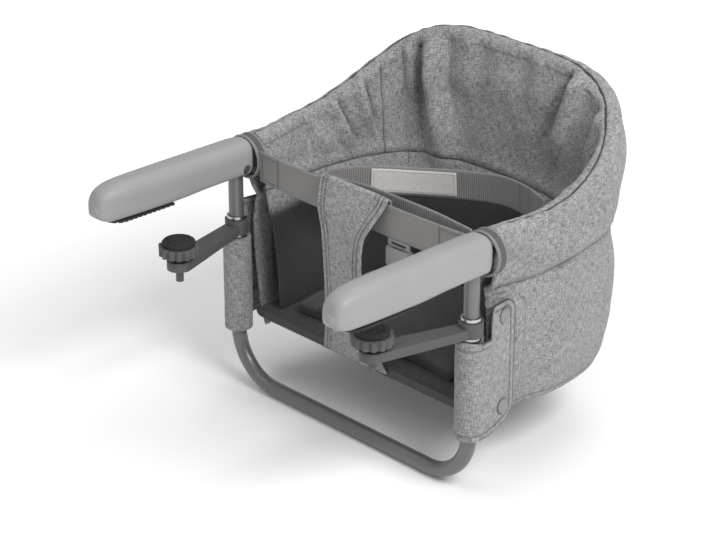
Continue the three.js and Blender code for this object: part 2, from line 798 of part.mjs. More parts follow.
function sideSleeve() {
  const rings = flapReachShares.map((share, i) => {
    const y = flapReach * share;
    const corner = flapCornerRadius * flapCornerShares[i];
    const high = mix(-flapTopDepth - corner, -sleeveTopDepth, flapShoulderShares[i]);
    const low = -sleeveBottomDepth + flapBottomRise * share ** 2 + corner;
    const x = flapOuter(y);
    const inside = x - sleeveThickness;
    return [vector(x, y, low), vector(x, y, high), vector(inside, y, high), vector(inside, y, low)];
  });
  const place = vector(armCentre, 0, 0);
  const channel = rod('z', sleeveRadius, -sleeveBottomDepth, -sleeveTopDepth, place, 24);
  const bore = rod('z', tubeRadius + softGap, -sleeveBottomDepth - cutOverrun, -sleeveTopDepth + cutOverrun,
    place, 24);
  return join(cut(channel, bore), loft(rings));
}

// Snap cap: a shallow dome on the outside of the flap.
function snapCap(depth) {
  const y = flapReach - snapFromFlapEdge;
  const edge = snapCapThickness / 3;
  const profile = [[0, 0], [snapCapRadius, 0], [snapCapRadius, edge], [snapCapRadius - edge, 2 * edge],
    [snapCapRadius / 2, snapCapThickness], [0, snapCapThickness]];
  const points = profile.map(([radius, height]) => new THREE.Vector2(radius, height));
  const lean = Math.atan2(flapOuter(y - snapCapRadius) - flapOuter(y + snapCapRadius), 2 * snapCapRadius);
  const geometry = new THREE.LatheGeometry(points, 24).rotateZ(lean - Math.PI / 2);
  return geometry.translate(flapOuter(y) + softGap, y, -depth);
}

// Front strap: smooth webbing on edge from root to root, bowed a little towards the table.
function frontStrap() {
  const half = armCentre - loopRadius - loopThickness - seatGap;
  const low = strapTopHeight - webbingWidth;
  const stations = 12;
  return loft(Array.from({ length: stations + 1 }, (_, i) => {
    const share = (2 * i) / stations - 1;
    const middle = strapRootBehind - strapBow * (1 - share ** 4);
    const front = middle - webbingThickness / 2;
    const back = middle + webbingThickness / 2;
    const corner = (y, z) => vector(half * share, y, z);
    return [
      corner(front, low), corner(front, strapTopHeight), corner(back, strapTopHeight), corner(back, low),
    ];
  }));
}

// Strap loop: the strap's end sewn round the hoop just behind the arm cover.
function strapLoop() {
  const section = [[loopRadius, 0], [loopRadius + loopThickness, 0], [loopRadius + loopThickness, loopWidth],
    [loopRadius, loopWidth], [loopRadius, 0]];
  const points = section.map(([radius, height]) => new THREE.Vector2(radius, height));
  const middle = hoopAxisHeight + tubeRadius + softGap - loopRadius;
  return new THREE.LatheGeometry(points, 28).translate(armCentre, loopStart, middle);
}

// Waist belt: ribbed webbing sewn to the left root. It runs behind the front strap, turns back and hangs
// as a loop round the child's waist to a slot in the left lining. Each place has its top edge's height.
function waistBelt() {
  const path = new THREE.CatmullRomCurve3(beltRouteSizes.map(([x, y, top]) => vector(x, y, top)));
  const route = path.getSpacedPoints(44);
  const rings = route.map((point, i) => {
    const before = route[Math.max(i - 1, 0)];
    const after = route[Math.min(i + 1, route.length - 1)];
    const along = after.clone().sub(before).setZ(0).normalize();
    const side = vector(along.y, -along.x, 0).multiplyScalar(webbingThickness / 2);
    const corner = (turn, drop) => point.clone().addScaledVector(side, turn).sub(vector(0, 0, drop));
    return [corner(1, beltWidth), corner(1, 0), corner(-1, 0), corner(-1, beltWidth)];
  });
  return loft(rings);
}

// Crotch piece: a padded band from the seat's front edge, up in front of the strap, over it and down
// behind it. Its edges curve in between the leg openings.
function crotchPiece() {
  const strapY = strapRootBehind - strapBow;
  const strapBottom = strapTopHeight - webbingWidth;
  const hug = webbingThickness / 2 + softGap + crotchThickness / 2;
  const over = strapTopHeight + softGap + crotchThickness;
  const tab = crotchTabHalfWidth;
  const middle = [
    ...crotchRouteSizes,
    [strapY - hug, strapTopHeight, tab],
    [strapY - hug / 2, over - crotchThickness / 6, tab],
    [strapY + hug / 2, over - crotchThickness / 6, tab],
    [strapY + hug, strapTopHeight, tab],
    [strapY + hug, mix(strapBottom, strapTopHeight, crotchBackShare), tab - crotchThickness],
    [strapY + hug, strapBottom, tab - 3 * crotchThickness],
  ];
  return loft(middle.map(([y, z, half], i) => {
    const before = middle[Math.max(i - 1, 0)];
    const after = middle[Math.min(i + 1, middle.length - 1)];
    const run = new THREE.Vector2(after[0] - before[0], after[1] - before[1]).normalize();
    const count = 7;
    const face = (turn) => Array.from({ length: count }, (_, k) => {
      const share = (2 * k) / (count - 1) - 1;
      const swell = 1 - crotchEdgeShare * share ** 4;
      const stand = (turn * crotchThickness * swell) / 2;
      return vector(half * share, y - run.y * stand, z + run.x * stand);
    });
    return [...face(1), ...face(-1).reverse()];
  }));
}

// Buckle under the strap: the plug's two prongs go down into the socket.
const buckleX = crotchTabHalfWidth + buckleWidth / 2 + softGap;
const buckleY = strapRootBehind - strapBow;
const buckleTop = strapTopHeight - webbingWidth - softGap;
const prongReachShare = 0.7;

function bucklePlug() {
  const half = buckleWidth / 2;
  const barHeight = buckleLength / 4;
  const prong = buckleWidth / 6;
  const low = buckleTop - buckleLength * prongReachShare;
  const neck = buckleTop - barHeight;
  const outside = half - prong / 2;
  const inside = half - (3 * prong) / 2;
  const shape = polygon([
    [-half, buckleTop], [half, buckleTop], [half, neck], [outside, neck], [outside, low], [inside, low],
    [inside, neck], [-inside, neck], [-inside, low], [-outside, low], [-outside, neck], [-half, neck],
  ]);
  const slot = new THREE.Path();
  slot.moveTo(-half + prong, buckleTop - barHeight / 3);
  slot.lineTo(-half + prong, neck + barHeight / 4);
  slot.lineTo(half - prong, neck + barHeight / 4);
  slot.lineTo(half - prong, buckleTop - barHeight / 3);
  shape.holes.push(slot);
  const thickness = buckleThickness / 3;
  const settings = { depth: thickness, bevelEnabled: false };
  const geometry = new THREE.ExtrudeGeometry(shape, settings).translate(0, 0, -thickness / 2);
  return geometry.rotateX(Math.PI / 2).translate(buckleX, buckleY, 0);
}

function buckleSocket() {
  const half = buckleWidth / 2;
  const top = buckleTop - buckleLength / 4 - seatGap;
  const low = buckleTop - buckleLength;
  const corner = buckleWidth / 6;
  const shape = polygon([
    [-half, top], [half, top], [half, low + corner], [half - corner, low], [-half + corner, low],
    [-half, low + corner],
  ]);
  const settings = { depth: buckleThickness, bevelEnabled: false };
  const body = new THREE.ExtrudeGeometry(shape, settings).translate(0, 0, -buckleThickness / 2);
  body.rotateX(Math.PI / 2).translate(buckleX, buckleY, 0);
  const cavityHalf = buckleThickness / 6 + runningClearance;
  const cavityReach = half - corner / 2 + runningClearance;
  const cavityEnd = buckleTop - buckleLength * prongReachShare - runningClearance;
  const cavity = block(
    vector(buckleX - cavityReach, buckleY - cavityHalf, cavityEnd),
    vector(buckleX + cavityReach, buckleY + cavityHalf, top + cutOverrun),
  );
  return cut(body, cavity);
}

// Assembly
addPiece('back_hoop', backHoop(), paintedSteel);
addPiece('lower_tube', lowerTube(), paintedSteel);
const collarBottoms = { upper: collarTop + seatGap, lower: jawBottom - seatGap - collarRingHeight };
for (const { side, sign } of sides) {
  const place = (name, geometry, finish) => {
    addPiece(`${side}_${name}`, sign > 0 ? geometry : mirrorX(geometry), finish);
  };
  place('arm_cover', armCover(), plastic);
  place('arm_pad', armPad(), rubber);
  place('hinge_pin', hingePin(), bareSteel);
  place('hinge_eye', hingeEye(), greyNylon);
  place('jaw', jaw(), greyNylon);
  place('upper_collar_ring', collarRing(collarBottoms.upper), bareSteel);
  place('lower_collar_ring', collarRing(collarBottoms.lower), bareSteel);
  place('grip_knob', gripKnob(), greyNylon);
  place('grip_pad', gripPad(), rubber);
  place('sleeve', sideSleeve(), outerFabric);
  place('upper_snap', snapCap(snapTopDepth), snapMetal);
  place('lower_snap', snapCap(snapBottomDepth), snapMetal);
  place('strap_loop', strapLoop(), webbing);
}
addPiece('seat_shell', seatShell(), outerFabric);
addPiece('seat_lining', seatLining(), liningFabric);
addPiece('seat_base', seatBase(), baseFabric);
addPiece('seat_pad', seatPad(), baseFabric);
addPiece('front_strap', frontStrap(), webbing);
addPiece('waist_belt', waistBelt(), webbing);
addPiece('crotch_piece', crotchPiece(), outerFabric);
addPiece('buckle_plug', bucklePlug(), buckleGrey);
addPiece('buckle_socket', buckleSocket(), buckleGrey);

export default chair;
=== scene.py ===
"""Hook-on table chair: a child's padded seat on a tube frame that hooks over the edge of a table.

Sizes are millimetres in this file and metres in Blender. +Z is up, -Y points over the table and +X is
the child's left side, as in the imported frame.
"""
import logging
import math
from dataclasses import dataclass
from enum import Enum
from typing import Callable, Sequence

import bmesh
import bpy
import numpy as np
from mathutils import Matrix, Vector


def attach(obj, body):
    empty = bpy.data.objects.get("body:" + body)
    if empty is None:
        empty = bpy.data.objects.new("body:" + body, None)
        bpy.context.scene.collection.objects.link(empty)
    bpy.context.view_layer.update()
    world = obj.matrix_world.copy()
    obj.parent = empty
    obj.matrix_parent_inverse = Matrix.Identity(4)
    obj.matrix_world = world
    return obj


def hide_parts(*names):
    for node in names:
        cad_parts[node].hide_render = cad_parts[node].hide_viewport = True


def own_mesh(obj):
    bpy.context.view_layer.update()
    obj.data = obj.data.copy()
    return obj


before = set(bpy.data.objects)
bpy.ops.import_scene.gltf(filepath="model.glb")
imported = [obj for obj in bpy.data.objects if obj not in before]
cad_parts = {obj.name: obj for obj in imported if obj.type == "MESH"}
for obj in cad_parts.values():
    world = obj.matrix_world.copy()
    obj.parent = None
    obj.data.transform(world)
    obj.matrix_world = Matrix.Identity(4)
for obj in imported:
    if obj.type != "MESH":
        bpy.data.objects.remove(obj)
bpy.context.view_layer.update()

LOG = logging.getLogger("table_chair")
Points = np.ndarray
Piece = bpy.types.Object
Colour = tuple[float, float, float]
MM = 0.001
PER_METRE = 1000.0
TURN = 2 * math.pi
SEAT = "seat_frame"
CLOTH_MAP = "cloth"
# Point attribute that darkens seams and painted shade.
SEAM_AND_SHADE_PAINT = "seam"

# The middle of an arm, of its upright and of the hoop's end in it.
ARM_X = 172.0
# The hoop's middle and the front strap's upper edge, where they enter the arms.
HOOP_Z = 31.0
# The underside of the seat's board.
SEAT_FLOOR = -160.0


# ---------------- shader maths


def maths(operation: str, flipped: bool = False) -> Callable[["Wire", object], "Wire"]:
    """Makes an operator method, which adds one Math node. Flipped, the other value comes first."""
    def method(self: "Wire", other: object) -> "Wire":
        """Adds the Math node."""
        return self.math(operation, *((other, self) if flipped else (self, other)))

    return method


class Wire:
    """A socket of a material's graph. Python's operators on it add Math nodes."""

    def __init__(self, graph: "Graph", socket: bpy.types.NodeSocket | None) -> None:
        """Keeps the graph and the socket."""
        self.graph, self.socket = graph, socket

    def out(self, key: int | str) -> "Wire":
        """Another output of the same node, by its number or name."""
        return Wire(self.graph, self.socket.node.outputs[key])

    def math(self, operation: str, *values: object, clamp: bool = False) -> "Wire":
        """Adds one Math node with those inputs in order, and clamps its result from 0 to 1 if asked."""
        settings = {"operation": operation, "use_clamp": clamp}
        return self.graph.node("ShaderNodeMath", settings, dict(enumerate(values)))

    __add__ = __radd__ = maths("ADD")
    __mul__ = __rmul__ = maths("MULTIPLY")
    __sub__, __rsub__ = maths("SUBTRACT"), maths("SUBTRACT", flipped=True)
    __truediv__, __rtruediv__ = maths("DIVIDE"), maths("DIVIDE", flipped=True)

    def sin(self) -> "Wire":
        """Sine of radians."""
        return self.math("SINE", self)

    def within(self) -> "Wire":
        """Held between 0 and 1."""
        return self.math("ADD", self, 0.0, clamp=True)

    def spread(self, reach: float) -> "Wire":
        """A value from 0 to 1 as a change round 0: (value - 0.5) reach."""
        return (self - 0.5) * reach

    def wave(self, pitch: float) -> "Wire":
        """A sine from 0 to 1 along a distance in metres, that repeats at a pitch in millimetres."""
        return (self * (TURN * PER_METRE / pitch)).sin() * 0.5 + 0.5


class Graph:
    """The node tree of a material or of a world."""

    def __init__(self, owner: bpy.types.Material | bpy.types.World) -> None:
        """Keeps the owner and empties its tree."""
        owner.use_nodes = True
        self.owner, self.tree = owner, owner.node_tree
        self.tree.nodes.clear()

    @classmethod
    def of(cls, name: str) -> "Graph":
        """The empty tree of a new material of that name."""
        return cls(bpy.data.materials.new(name))

    def node(self, kind: str, settings: dict | None = None, inputs: dict | None = None) -> Wire:
        """Adds any node.

        Args:
            kind: the node's type.
            settings: attributes, set first.
            inputs: socket number or name, and its value or Wire.

        Returns:
            Its first output, if it has one.
        """
        made = self.tree.nodes.new(kind)
        for key, value in (settings or {}).items():
            setattr(made, key, value)
        for key, value in (inputs or {}).items():
            if isinstance(value, Wire):
                self.tree.links.new(value.socket, made.inputs[key])
            else:
                made.inputs[key].default_value = value
        return Wire(self, made.outputs[0] if made.outputs else None)

    def mix(self, share: Wire, first: object, second: object) -> Wire:
        """Blends two colours, each a Wire or a colour: share 0 gives the first and 1 the second."""
        ends = [value if isinstance(value, Wire) else (*value, 1.0) for value in (first, second)]
        inputs = {0: share, 6: ends[0], 7: ends[1]}
        return self.node("ShaderNodeMix", {"data_type": "RGBA"}, inputs).out(2)

    def shades(self, share: Wire, tone: float, ends: tuple[float, float], warm: float) -> Wire:
        """Blends two shades of one screen grey, each a share of it, as the share goes from 0 to 1."""
        return self.mix(share, *(grey(tone * end, warm) for end in ends))

    def noise(self, place: Wire, scale: float, detail: float = 2.0, rough: float = 0.5) -> Wire:
        """Soft noise from 0 to 1 at a place."""
        inputs = {"Vector": place, "Scale": scale, "Detail": detail, "Roughness": rough}
        return self.node("ShaderNodeTexNoise", None, inputs).out("Fac")

    def object_place(self, stretch: Sequence[float] = (1.0, 1.0, 1.0)) -> Wire:
        """Object coordinates in metres, stretched along each axis."""
        return self.scaled(self.node("ShaderNodeTexCoord").out("Object"), stretch)

    def cloth_place(self, stretch: Sequence[float] = (1.0, 1.0, 1.0)) -> Wire:
        """The piece's own cloth coordinates in metres, stretched along each axis."""
        return self.scaled(self.node("ShaderNodeUVMap", {"uv_map": CLOTH_MAP}), stretch)

    def cloth_ways(self) -> tuple[Wire, Wire]:
        """The cloth coordinates' two directions, in metres."""
        split = self.node("ShaderNodeSeparateXYZ", None, {0: self.cloth_place()})
        return split, split.out(1)

    def scaled(self, place: Wire, stretch: Sequence[float]) -> Wire:
        """A vector times a stretch along each axis."""
        return self.node("ShaderNodeMapping", None, {"Vector": place, "Scale": tuple(stretch)})

    def seams(self) -> Wire:
        """The paint of the piece's points for seams and painted shade, from 0 to 1."""
        return self.node("ShaderNodeAttribute", {"attribute_name": SEAM_AND_SHADE_PAINT}).out("Fac").within()

    def bump(self, height: Wire, reach: float, strength: float) -> Wire:
        """A normal from a height of 0 to 1 over a reach in millimetres."""
        inputs = {"Height": height, "Distance": reach * MM, "Strength": strength}
        return self.node("ShaderNodeBump", None, inputs)

    def finish(self, inputs: dict) -> bpy.types.Material:
        """Closes the graph with the main shader, whose sockets take those values or Wires."""
        shader = self.node("ShaderNodeBsdfPrincipled", None, inputs)
        self.node("ShaderNodeOutputMaterial", None, {"Surface": shader})
        return self.owner


def grey(level: float, warm: float = 0.0) -> Colour:
    """A screen grey as a linear colour: value / 12.92 when dark, or else ((value + 0.055) / 1.055)^2.4.

    Args:
        level: the grey as it shows on a screen, from 0 to 255.
        warm: added to red and taken from blue, as a share.

    Returns:
        The linear colour.
    """
    value = level / 255.0
    linear = value / 12.92 if value <= 0.04045 else ((value + 0.055) / 1.055) ** 2.4
    return (linear * (1 + warm), linear, linear * (1 - warm))


@dataclass(frozen=True)
class WovenCloth:
    """Melange cloth: light and dark yarns in both directions of a plain weave.

    Attributes:
        light, dark: screen greys of the yarns.
        warm: their warmth.
        pitch, depth: distance between yarns and depth of the weave, in millimetres.
        streak: length of a streak of one tone, in pitches.
        contrast: how strongly the streaks show.
        patchy, worn: how much the tone changes over 10 mm, and over the whole piece.
        seam: the grey of seams and of painted shade, as a share of the dark yarns'.
    """

    name: str
    light: float
    dark: float
    warm: float = 0.0
    pitch: float = 0.95
    rough: float = 0.92
    depth: float = 0.22
    streak: float = 7.0
    contrast: float = 2.2
    patchy: float = 0.45
    worn: float = 0.3
    seam: float = 0.42

    def build(self) -> bpy.types.Material:
        """Yarn streaks run along each direction of the cloth map, and seams and painted shade are
        darker.

        The streaks are noise stretched along a yarn, the weave's height is the product of a sine in each
        direction, and the tone adds streaks, patches and wear.
        """
        g = Graph.of(f"{self.name}_finish")
        across = PER_METRE / self.pitch
        along = across / self.streak
        warp, weft = (g.noise(g.cloth_place(stretch), 0.95, 1.5, 0.6)
                      for stretch in ((across, along, 1), (along, across, 1)))
        patches = g.noise(g.cloth_place(), 95.0)
        wear = g.noise(g.object_place(), 14.0)
        streaks = (warp + weft - 1) * self.contrast
        yarns = (streaks + patches.spread(self.patchy) + wear.spread(self.worn) + 0.5).within()
        cloth = g.mix(yarns, grey(self.dark, self.warm), grey(self.light, self.warm))
        over, under = (way * (TURN * PER_METRE / self.pitch / 2) for way in g.cloth_ways())
        weave = over.sin() * under.sin() * 0.5 + 0.5
        height = weave * 0.6 + warp * 0.2 + weft * 0.2
        return g.finish({
            "Base Color": g.mix(g.seams(), cloth, grey(self.dark * self.seam, self.warm)),
            "Roughness": self.rough,
            "Sheen Weight": 0.12,
            "Sheen Roughness": 0.6,
            "Specular IOR Level": 0.25,
            "Normal": g.bump(height, self.depth, 0.7),
        })


@dataclass(frozen=True)
class RibbedWebbing:
    """Woven strap: ribs across the strap's length, with a firmer edge.

    Attributes:
        tone, warm: screen grey and warmth of the yarn.
        pitch, yarn: distance between ribs, and between yarns along the strap, in millimetres.
        contrast: how dark the gaps between ribs are, from 0 to 1.
        depth: height of a rib, in millimetres.
        fleck, soil: how much the tone changes from yarn to yarn, and over the whole piece.
        shades: shade of the gaps, of the ribs, and of seams and painted shade, as shares of the tone.
    """

    name: str
    tone: float
    warm: float = 0.0
    pitch: float = 2.0
    contrast: float = 0.5
    depth: float = 0.3
    rough: float = 0.75
    yarn: float = 0.9
    fleck: float = 0.5
    soil: float = 0.25
    shades: tuple[float, float, float] = (0.62, 1.1, 0.45)

    def build(self) -> bpy.types.Material:
        """Ribs are a sine along the cloth map's first direction, broken by fine yarns."""
        g = Graph.of(f"{self.name}_finish")
        along, down = g.cloth_ways()
        rib, yarn = along.wave(self.pitch), down.wave(self.yarn)
        fleck = g.noise(g.cloth_place((700, 900, 1)), 1.0, 1.0)
        soil = g.noise(g.object_place(), 25.0)
        tone = (rib * self.contrast + yarn * 0.12 + (1 - self.contrast) * 0.72
                + fleck.spread(self.fleck) + soil.spread(self.soil)).within()
        base = g.shades(tone, self.tone, self.shades[:2], self.warm)
        shade = grey(self.tone * self.shades[2], self.warm)
        return g.finish({
            "Base Color": g.mix(g.seams(), base, shade),
            "Roughness": self.rough,
            "Specular IOR Level": 0.35,
            "Sheen Weight": 0.06,
            "Normal": g.bump(rib * 0.8 + yarn * 0.2, self.depth, 0.8),
        })


@dataclass(frozen=True)
class MouldedPlastic:
    """Moulded plastic or rubber with a fine spark-eroded grain and light handling marks.

    Attributes:
        tone, warm: screen grey and warmth.
        grain, scale: depth of the grain in millimetres, and grains across a metre.
        shades: its darkest and lightest shade, as shares of the tone.
    """

    name: str
    tone: float
    warm: float = 0.0
    rough: float = 0.5
    grain: float = 0.04
    scale: float = 1800.0
    shades: tuple[float, float] = (0.955, 1.03)

    def build(self) -> bpy.types.Material:
        """Noise at three scales varies the grey, the roughness and the height."""
        g = Graph.of(f"{self.name}_finish")
        place = g.object_place()
        fine = g.noise(place, self.scale, 2.0, 0.6)
        cloud = g.noise(place, 22.0, 3.0)
        rubbed = g.noise(g.object_place((1, 0.25, 1)), 160.0)
        tone = (0.5 + cloud.spread(0.9) + fine.spread(0.35)).within()
        return g.finish({
            "Base Color": g.shades(tone, self.tone, self.shades, self.warm),
            "Roughness": (self.rough + rubbed.spread(0.16) + cloud.spread(0.12)).within(),
            "Specular IOR Level": 0.42,
            "Normal": g.bump(fine, self.grain, 0.6),
        })


@dataclass(frozen=True)
class Metal:
    """Painted or bare steel tube.

    Attributes:
        tone: screen grey.
        metallic: 1 for bare steel, less under paint.
        peel: depth of the paint's orange peel, in millimetres.
        shades: its darkest and lightest shade, as shares of the tone.
    """

    name: str
    tone: float
    metallic: float
    rough: float
    peel: float = 0.05
    shades: tuple[float, float] = (0.94, 1.05)

    def build(self) -> bpy.types.Material:
        """Orange peel, faint drawing lines along Z and small rubbed places."""
        g = Graph.of(f"{self.name}_finish")
        place = g.object_place()
        peel = g.noise(place, 420.0)
        cloud = g.noise(place, 12.0, 3.0)
        lines = g.noise(g.object_place((900, 900, 18)), 1.0, 1.0)
        tone = (0.5 + cloud.spread(0.8) + lines.spread(0.3)).within()
        return g.finish({
            "Base Color": g.shades(tone, self.tone, self.shades, 0.0),
            "Metallic": self.metallic,
            "Roughness": (self.rough + cloud.spread(0.2) + lines.spread(0.08)).within(),
            "Coat Weight": 0.15,
            "Coat Roughness": 0.2,
            "Normal": g.bump(peel, self.peel, 0.5),
        })


class Finish(Enum):
    """Every finish of the chair, by the record's material slot."""

    ARM = MouldedPlastic("arm_plastic", 150, 0.004, 0.46, 0.03, 1500.0)
    TUBE = Metal("painted_tube", 110, 0.3, 0.36)
    PIN = Metal("pin_steel", 178, 1.0, 0.3, 0.01)
    RUBBER = MouldedPlastic("grip_rubber", 38, 0.0, 0.82, 0.08, 900.0)
    NYLON = MouldedPlastic("grey_nylon", 82, 0.0, 0.55, 0.05, 1200.0)
    CLOTH = WovenCloth("outer_fabric", 165, 105, -0.006)
    LINING = WovenCloth("lining_fabric", 168, 103, -0.004)
    SEAT = WovenCloth("seat_fabric", 76, 56, -0.01, 0.9, 0.9, 0.15)
    STRAP = RibbedWebbing("strap_webbing", 128, 0.03, 0.7, 0.18, 0.1, 0.62)
    BELT = RibbedWebbing("belt_webbing", 132, 0.02, 2.9, 0.62, 0.35)
    SNAP = MouldedPlastic("snap_plastic", 128, 0.03, 0.4, 0.02, 1500.0)
    BUCKLE = MouldedPlastic("buckle_plastic", 130, 0.01, 0.42, 0.03, 1300.0)
    THREAD = RibbedWebbing("sewing_thread", 92, 0.0, 0.5, 0.4, 0.05)
    PATCH = WovenCloth("blank_patch", 208, 190, 0.03, 0.6, 0.7, 0.06)

    @property
    def slot(self) -> str:
        """The record's slot that the finish belongs to."""
        host = {"sewing_thread": "outer_fabric", "blank_patch": "belt_webbing"}
        return host.get(self.value.name, self.value.name)

    @property
    def material(self) -> bpy.types.Material:
        """The finish's material, built when it is first asked for."""
        if self not in MADE:
            MADE[self] = self.value.build()
        return MADE[self]


MADE: dict[Finish, bpy.types.Material] = {}


# ---------------- surfaces


def smooth(share: Points | float) -> Points | float:
    """A curve from 0 to 1 that starts and ends level: 3s^2 - 2s^3 of the clamped share."""
    held = np.clip(share, 0.0, 1.0)
    return held * held * (3 - 2 * held)


def mix(first: Points | float, second: Points | float, share: Points | float) -> Points | float:
    """The place at a share of the way from the first to the second."""
    return first + (second - first) * share


def unit(vectors: Points) -> Points:
    """Vectors of length 1 along the last axis."""
    return vectors / np.maximum(np.linalg.norm(vectors, axis=-1, keepdims=True), 1e-9)


def bell(distance: Points | float, width: float) -> Points:
    """A bell of height 1 and that half width: exp(-(distance / width)^2)."""
    return np.exp(-((np.asarray(distance) / width) ** 2))


def ripple(rows: int, cols: int, cells: tuple[int, int], seed: int) -> Points:
    """Smooth random waves: a seeded grid of numbers, blended with a smooth step between its cells.

    Args:
        rows, cols: rows and columns of the result.
        cells: cells down and across.
        seed: the random seed.

    Returns:
        Numbers from about -1 to 1.
    """
    grid = np.random.default_rng(seed).uniform(-1, 1, (cells[0] + 2, cells[1] + 2))
    y, x = np.linspace(0, cells[0], rows), np.linspace(0, cells[1], cols)
    iy, ix = y.astype(int), x.astype(int)
    fy, fx = smooth(y - iy)[:, None], smooth(x - ix)[None, :]
    top = mix(grid[np.ix_(iy, ix)], grid[np.ix_(iy, ix + 1)], fx)
    low = mix(grid[np.ix_(iy + 1, ix)], grid[np.ix_(iy + 1, ix + 1)], fx)
    return mix(top, low, fy)


def spline(controls: Points, count: int) -> Points:
    """A Catmull-Rom curve through control points along the first axis.

    Args:
        controls: control points, (number, ...).
        count: points wanted.

    Returns:
        Points evenly spread over the curve's own parameter.
    """
    before, after = 2 * controls[:1] - controls[1:2], 2 * controls[-1:] - controls[-2:-1]
    ends = np.concatenate([before, controls, after])
    t = np.linspace(0, len(controls) - 1 - 1e-9, count)
    i = t.astype(int)
    f = (t - i).reshape((-1,) + (1,) * (controls.ndim - 1))
    a, b, c, d = ends[i], ends[i + 1], ends[i + 2], ends[i + 3]
    bent, turned = 2 * a - 5 * b + 4 * c - d, 3 * b - a - 3 * c + d
    return 0.5 * (2 * b + (c - a) * f + bent * f**2 + turned * f**3)


def evened(profile: Points, times: int) -> Points:
    """Rounds a profile's corners so many times: each inner row becomes (before + 2 row + after) / 4."""
    for _ in range(times):
        profile[1:-1] = (profile[:-2] + 2 * profile[1:-1] + profile[2:]) / 4
    return profile


def travelled(points: Points, axis: int) -> Points:
    """Distance along an axis of a grid of points: the running sum of its steps' lengths, from 0."""
    steps = np.linalg.norm(np.diff(points, axis=axis), axis=-1)
    lead = [(0, 0)] * steps.ndim
    lead[axis] = (1, 0)
    return np.pad(np.cumsum(steps, axis=axis), lead)


def along_route(route: Points, run: Points, goal: Points) -> Points:
    """Places at distances along a route whose points' own distances are run, in straight steps."""
    return np.stack([np.interp(goal, run, route[:, k]) for k in range(route.shape[1])], axis=-1)


def evenly(route: Points, count: int) -> Points:
    """A route resampled at even distances."""
    run = travelled(route, 0)
    return along_route(route, run, np.linspace(0, run[-1], count))


def grid_normals(points: Points) -> Points:
    """Unit normals of a grid of points: the cross product of its steps across and down."""
    return unit(np.cross(np.gradient(points, axis=1), np.gradient(points, axis=0)))


def grid_of(*parts: Points | float) -> Points:
    """A grid of points from its coordinates, each a grid or something that spreads over one."""
    return np.stack(np.broadcast_arrays(*parts), axis=-1)


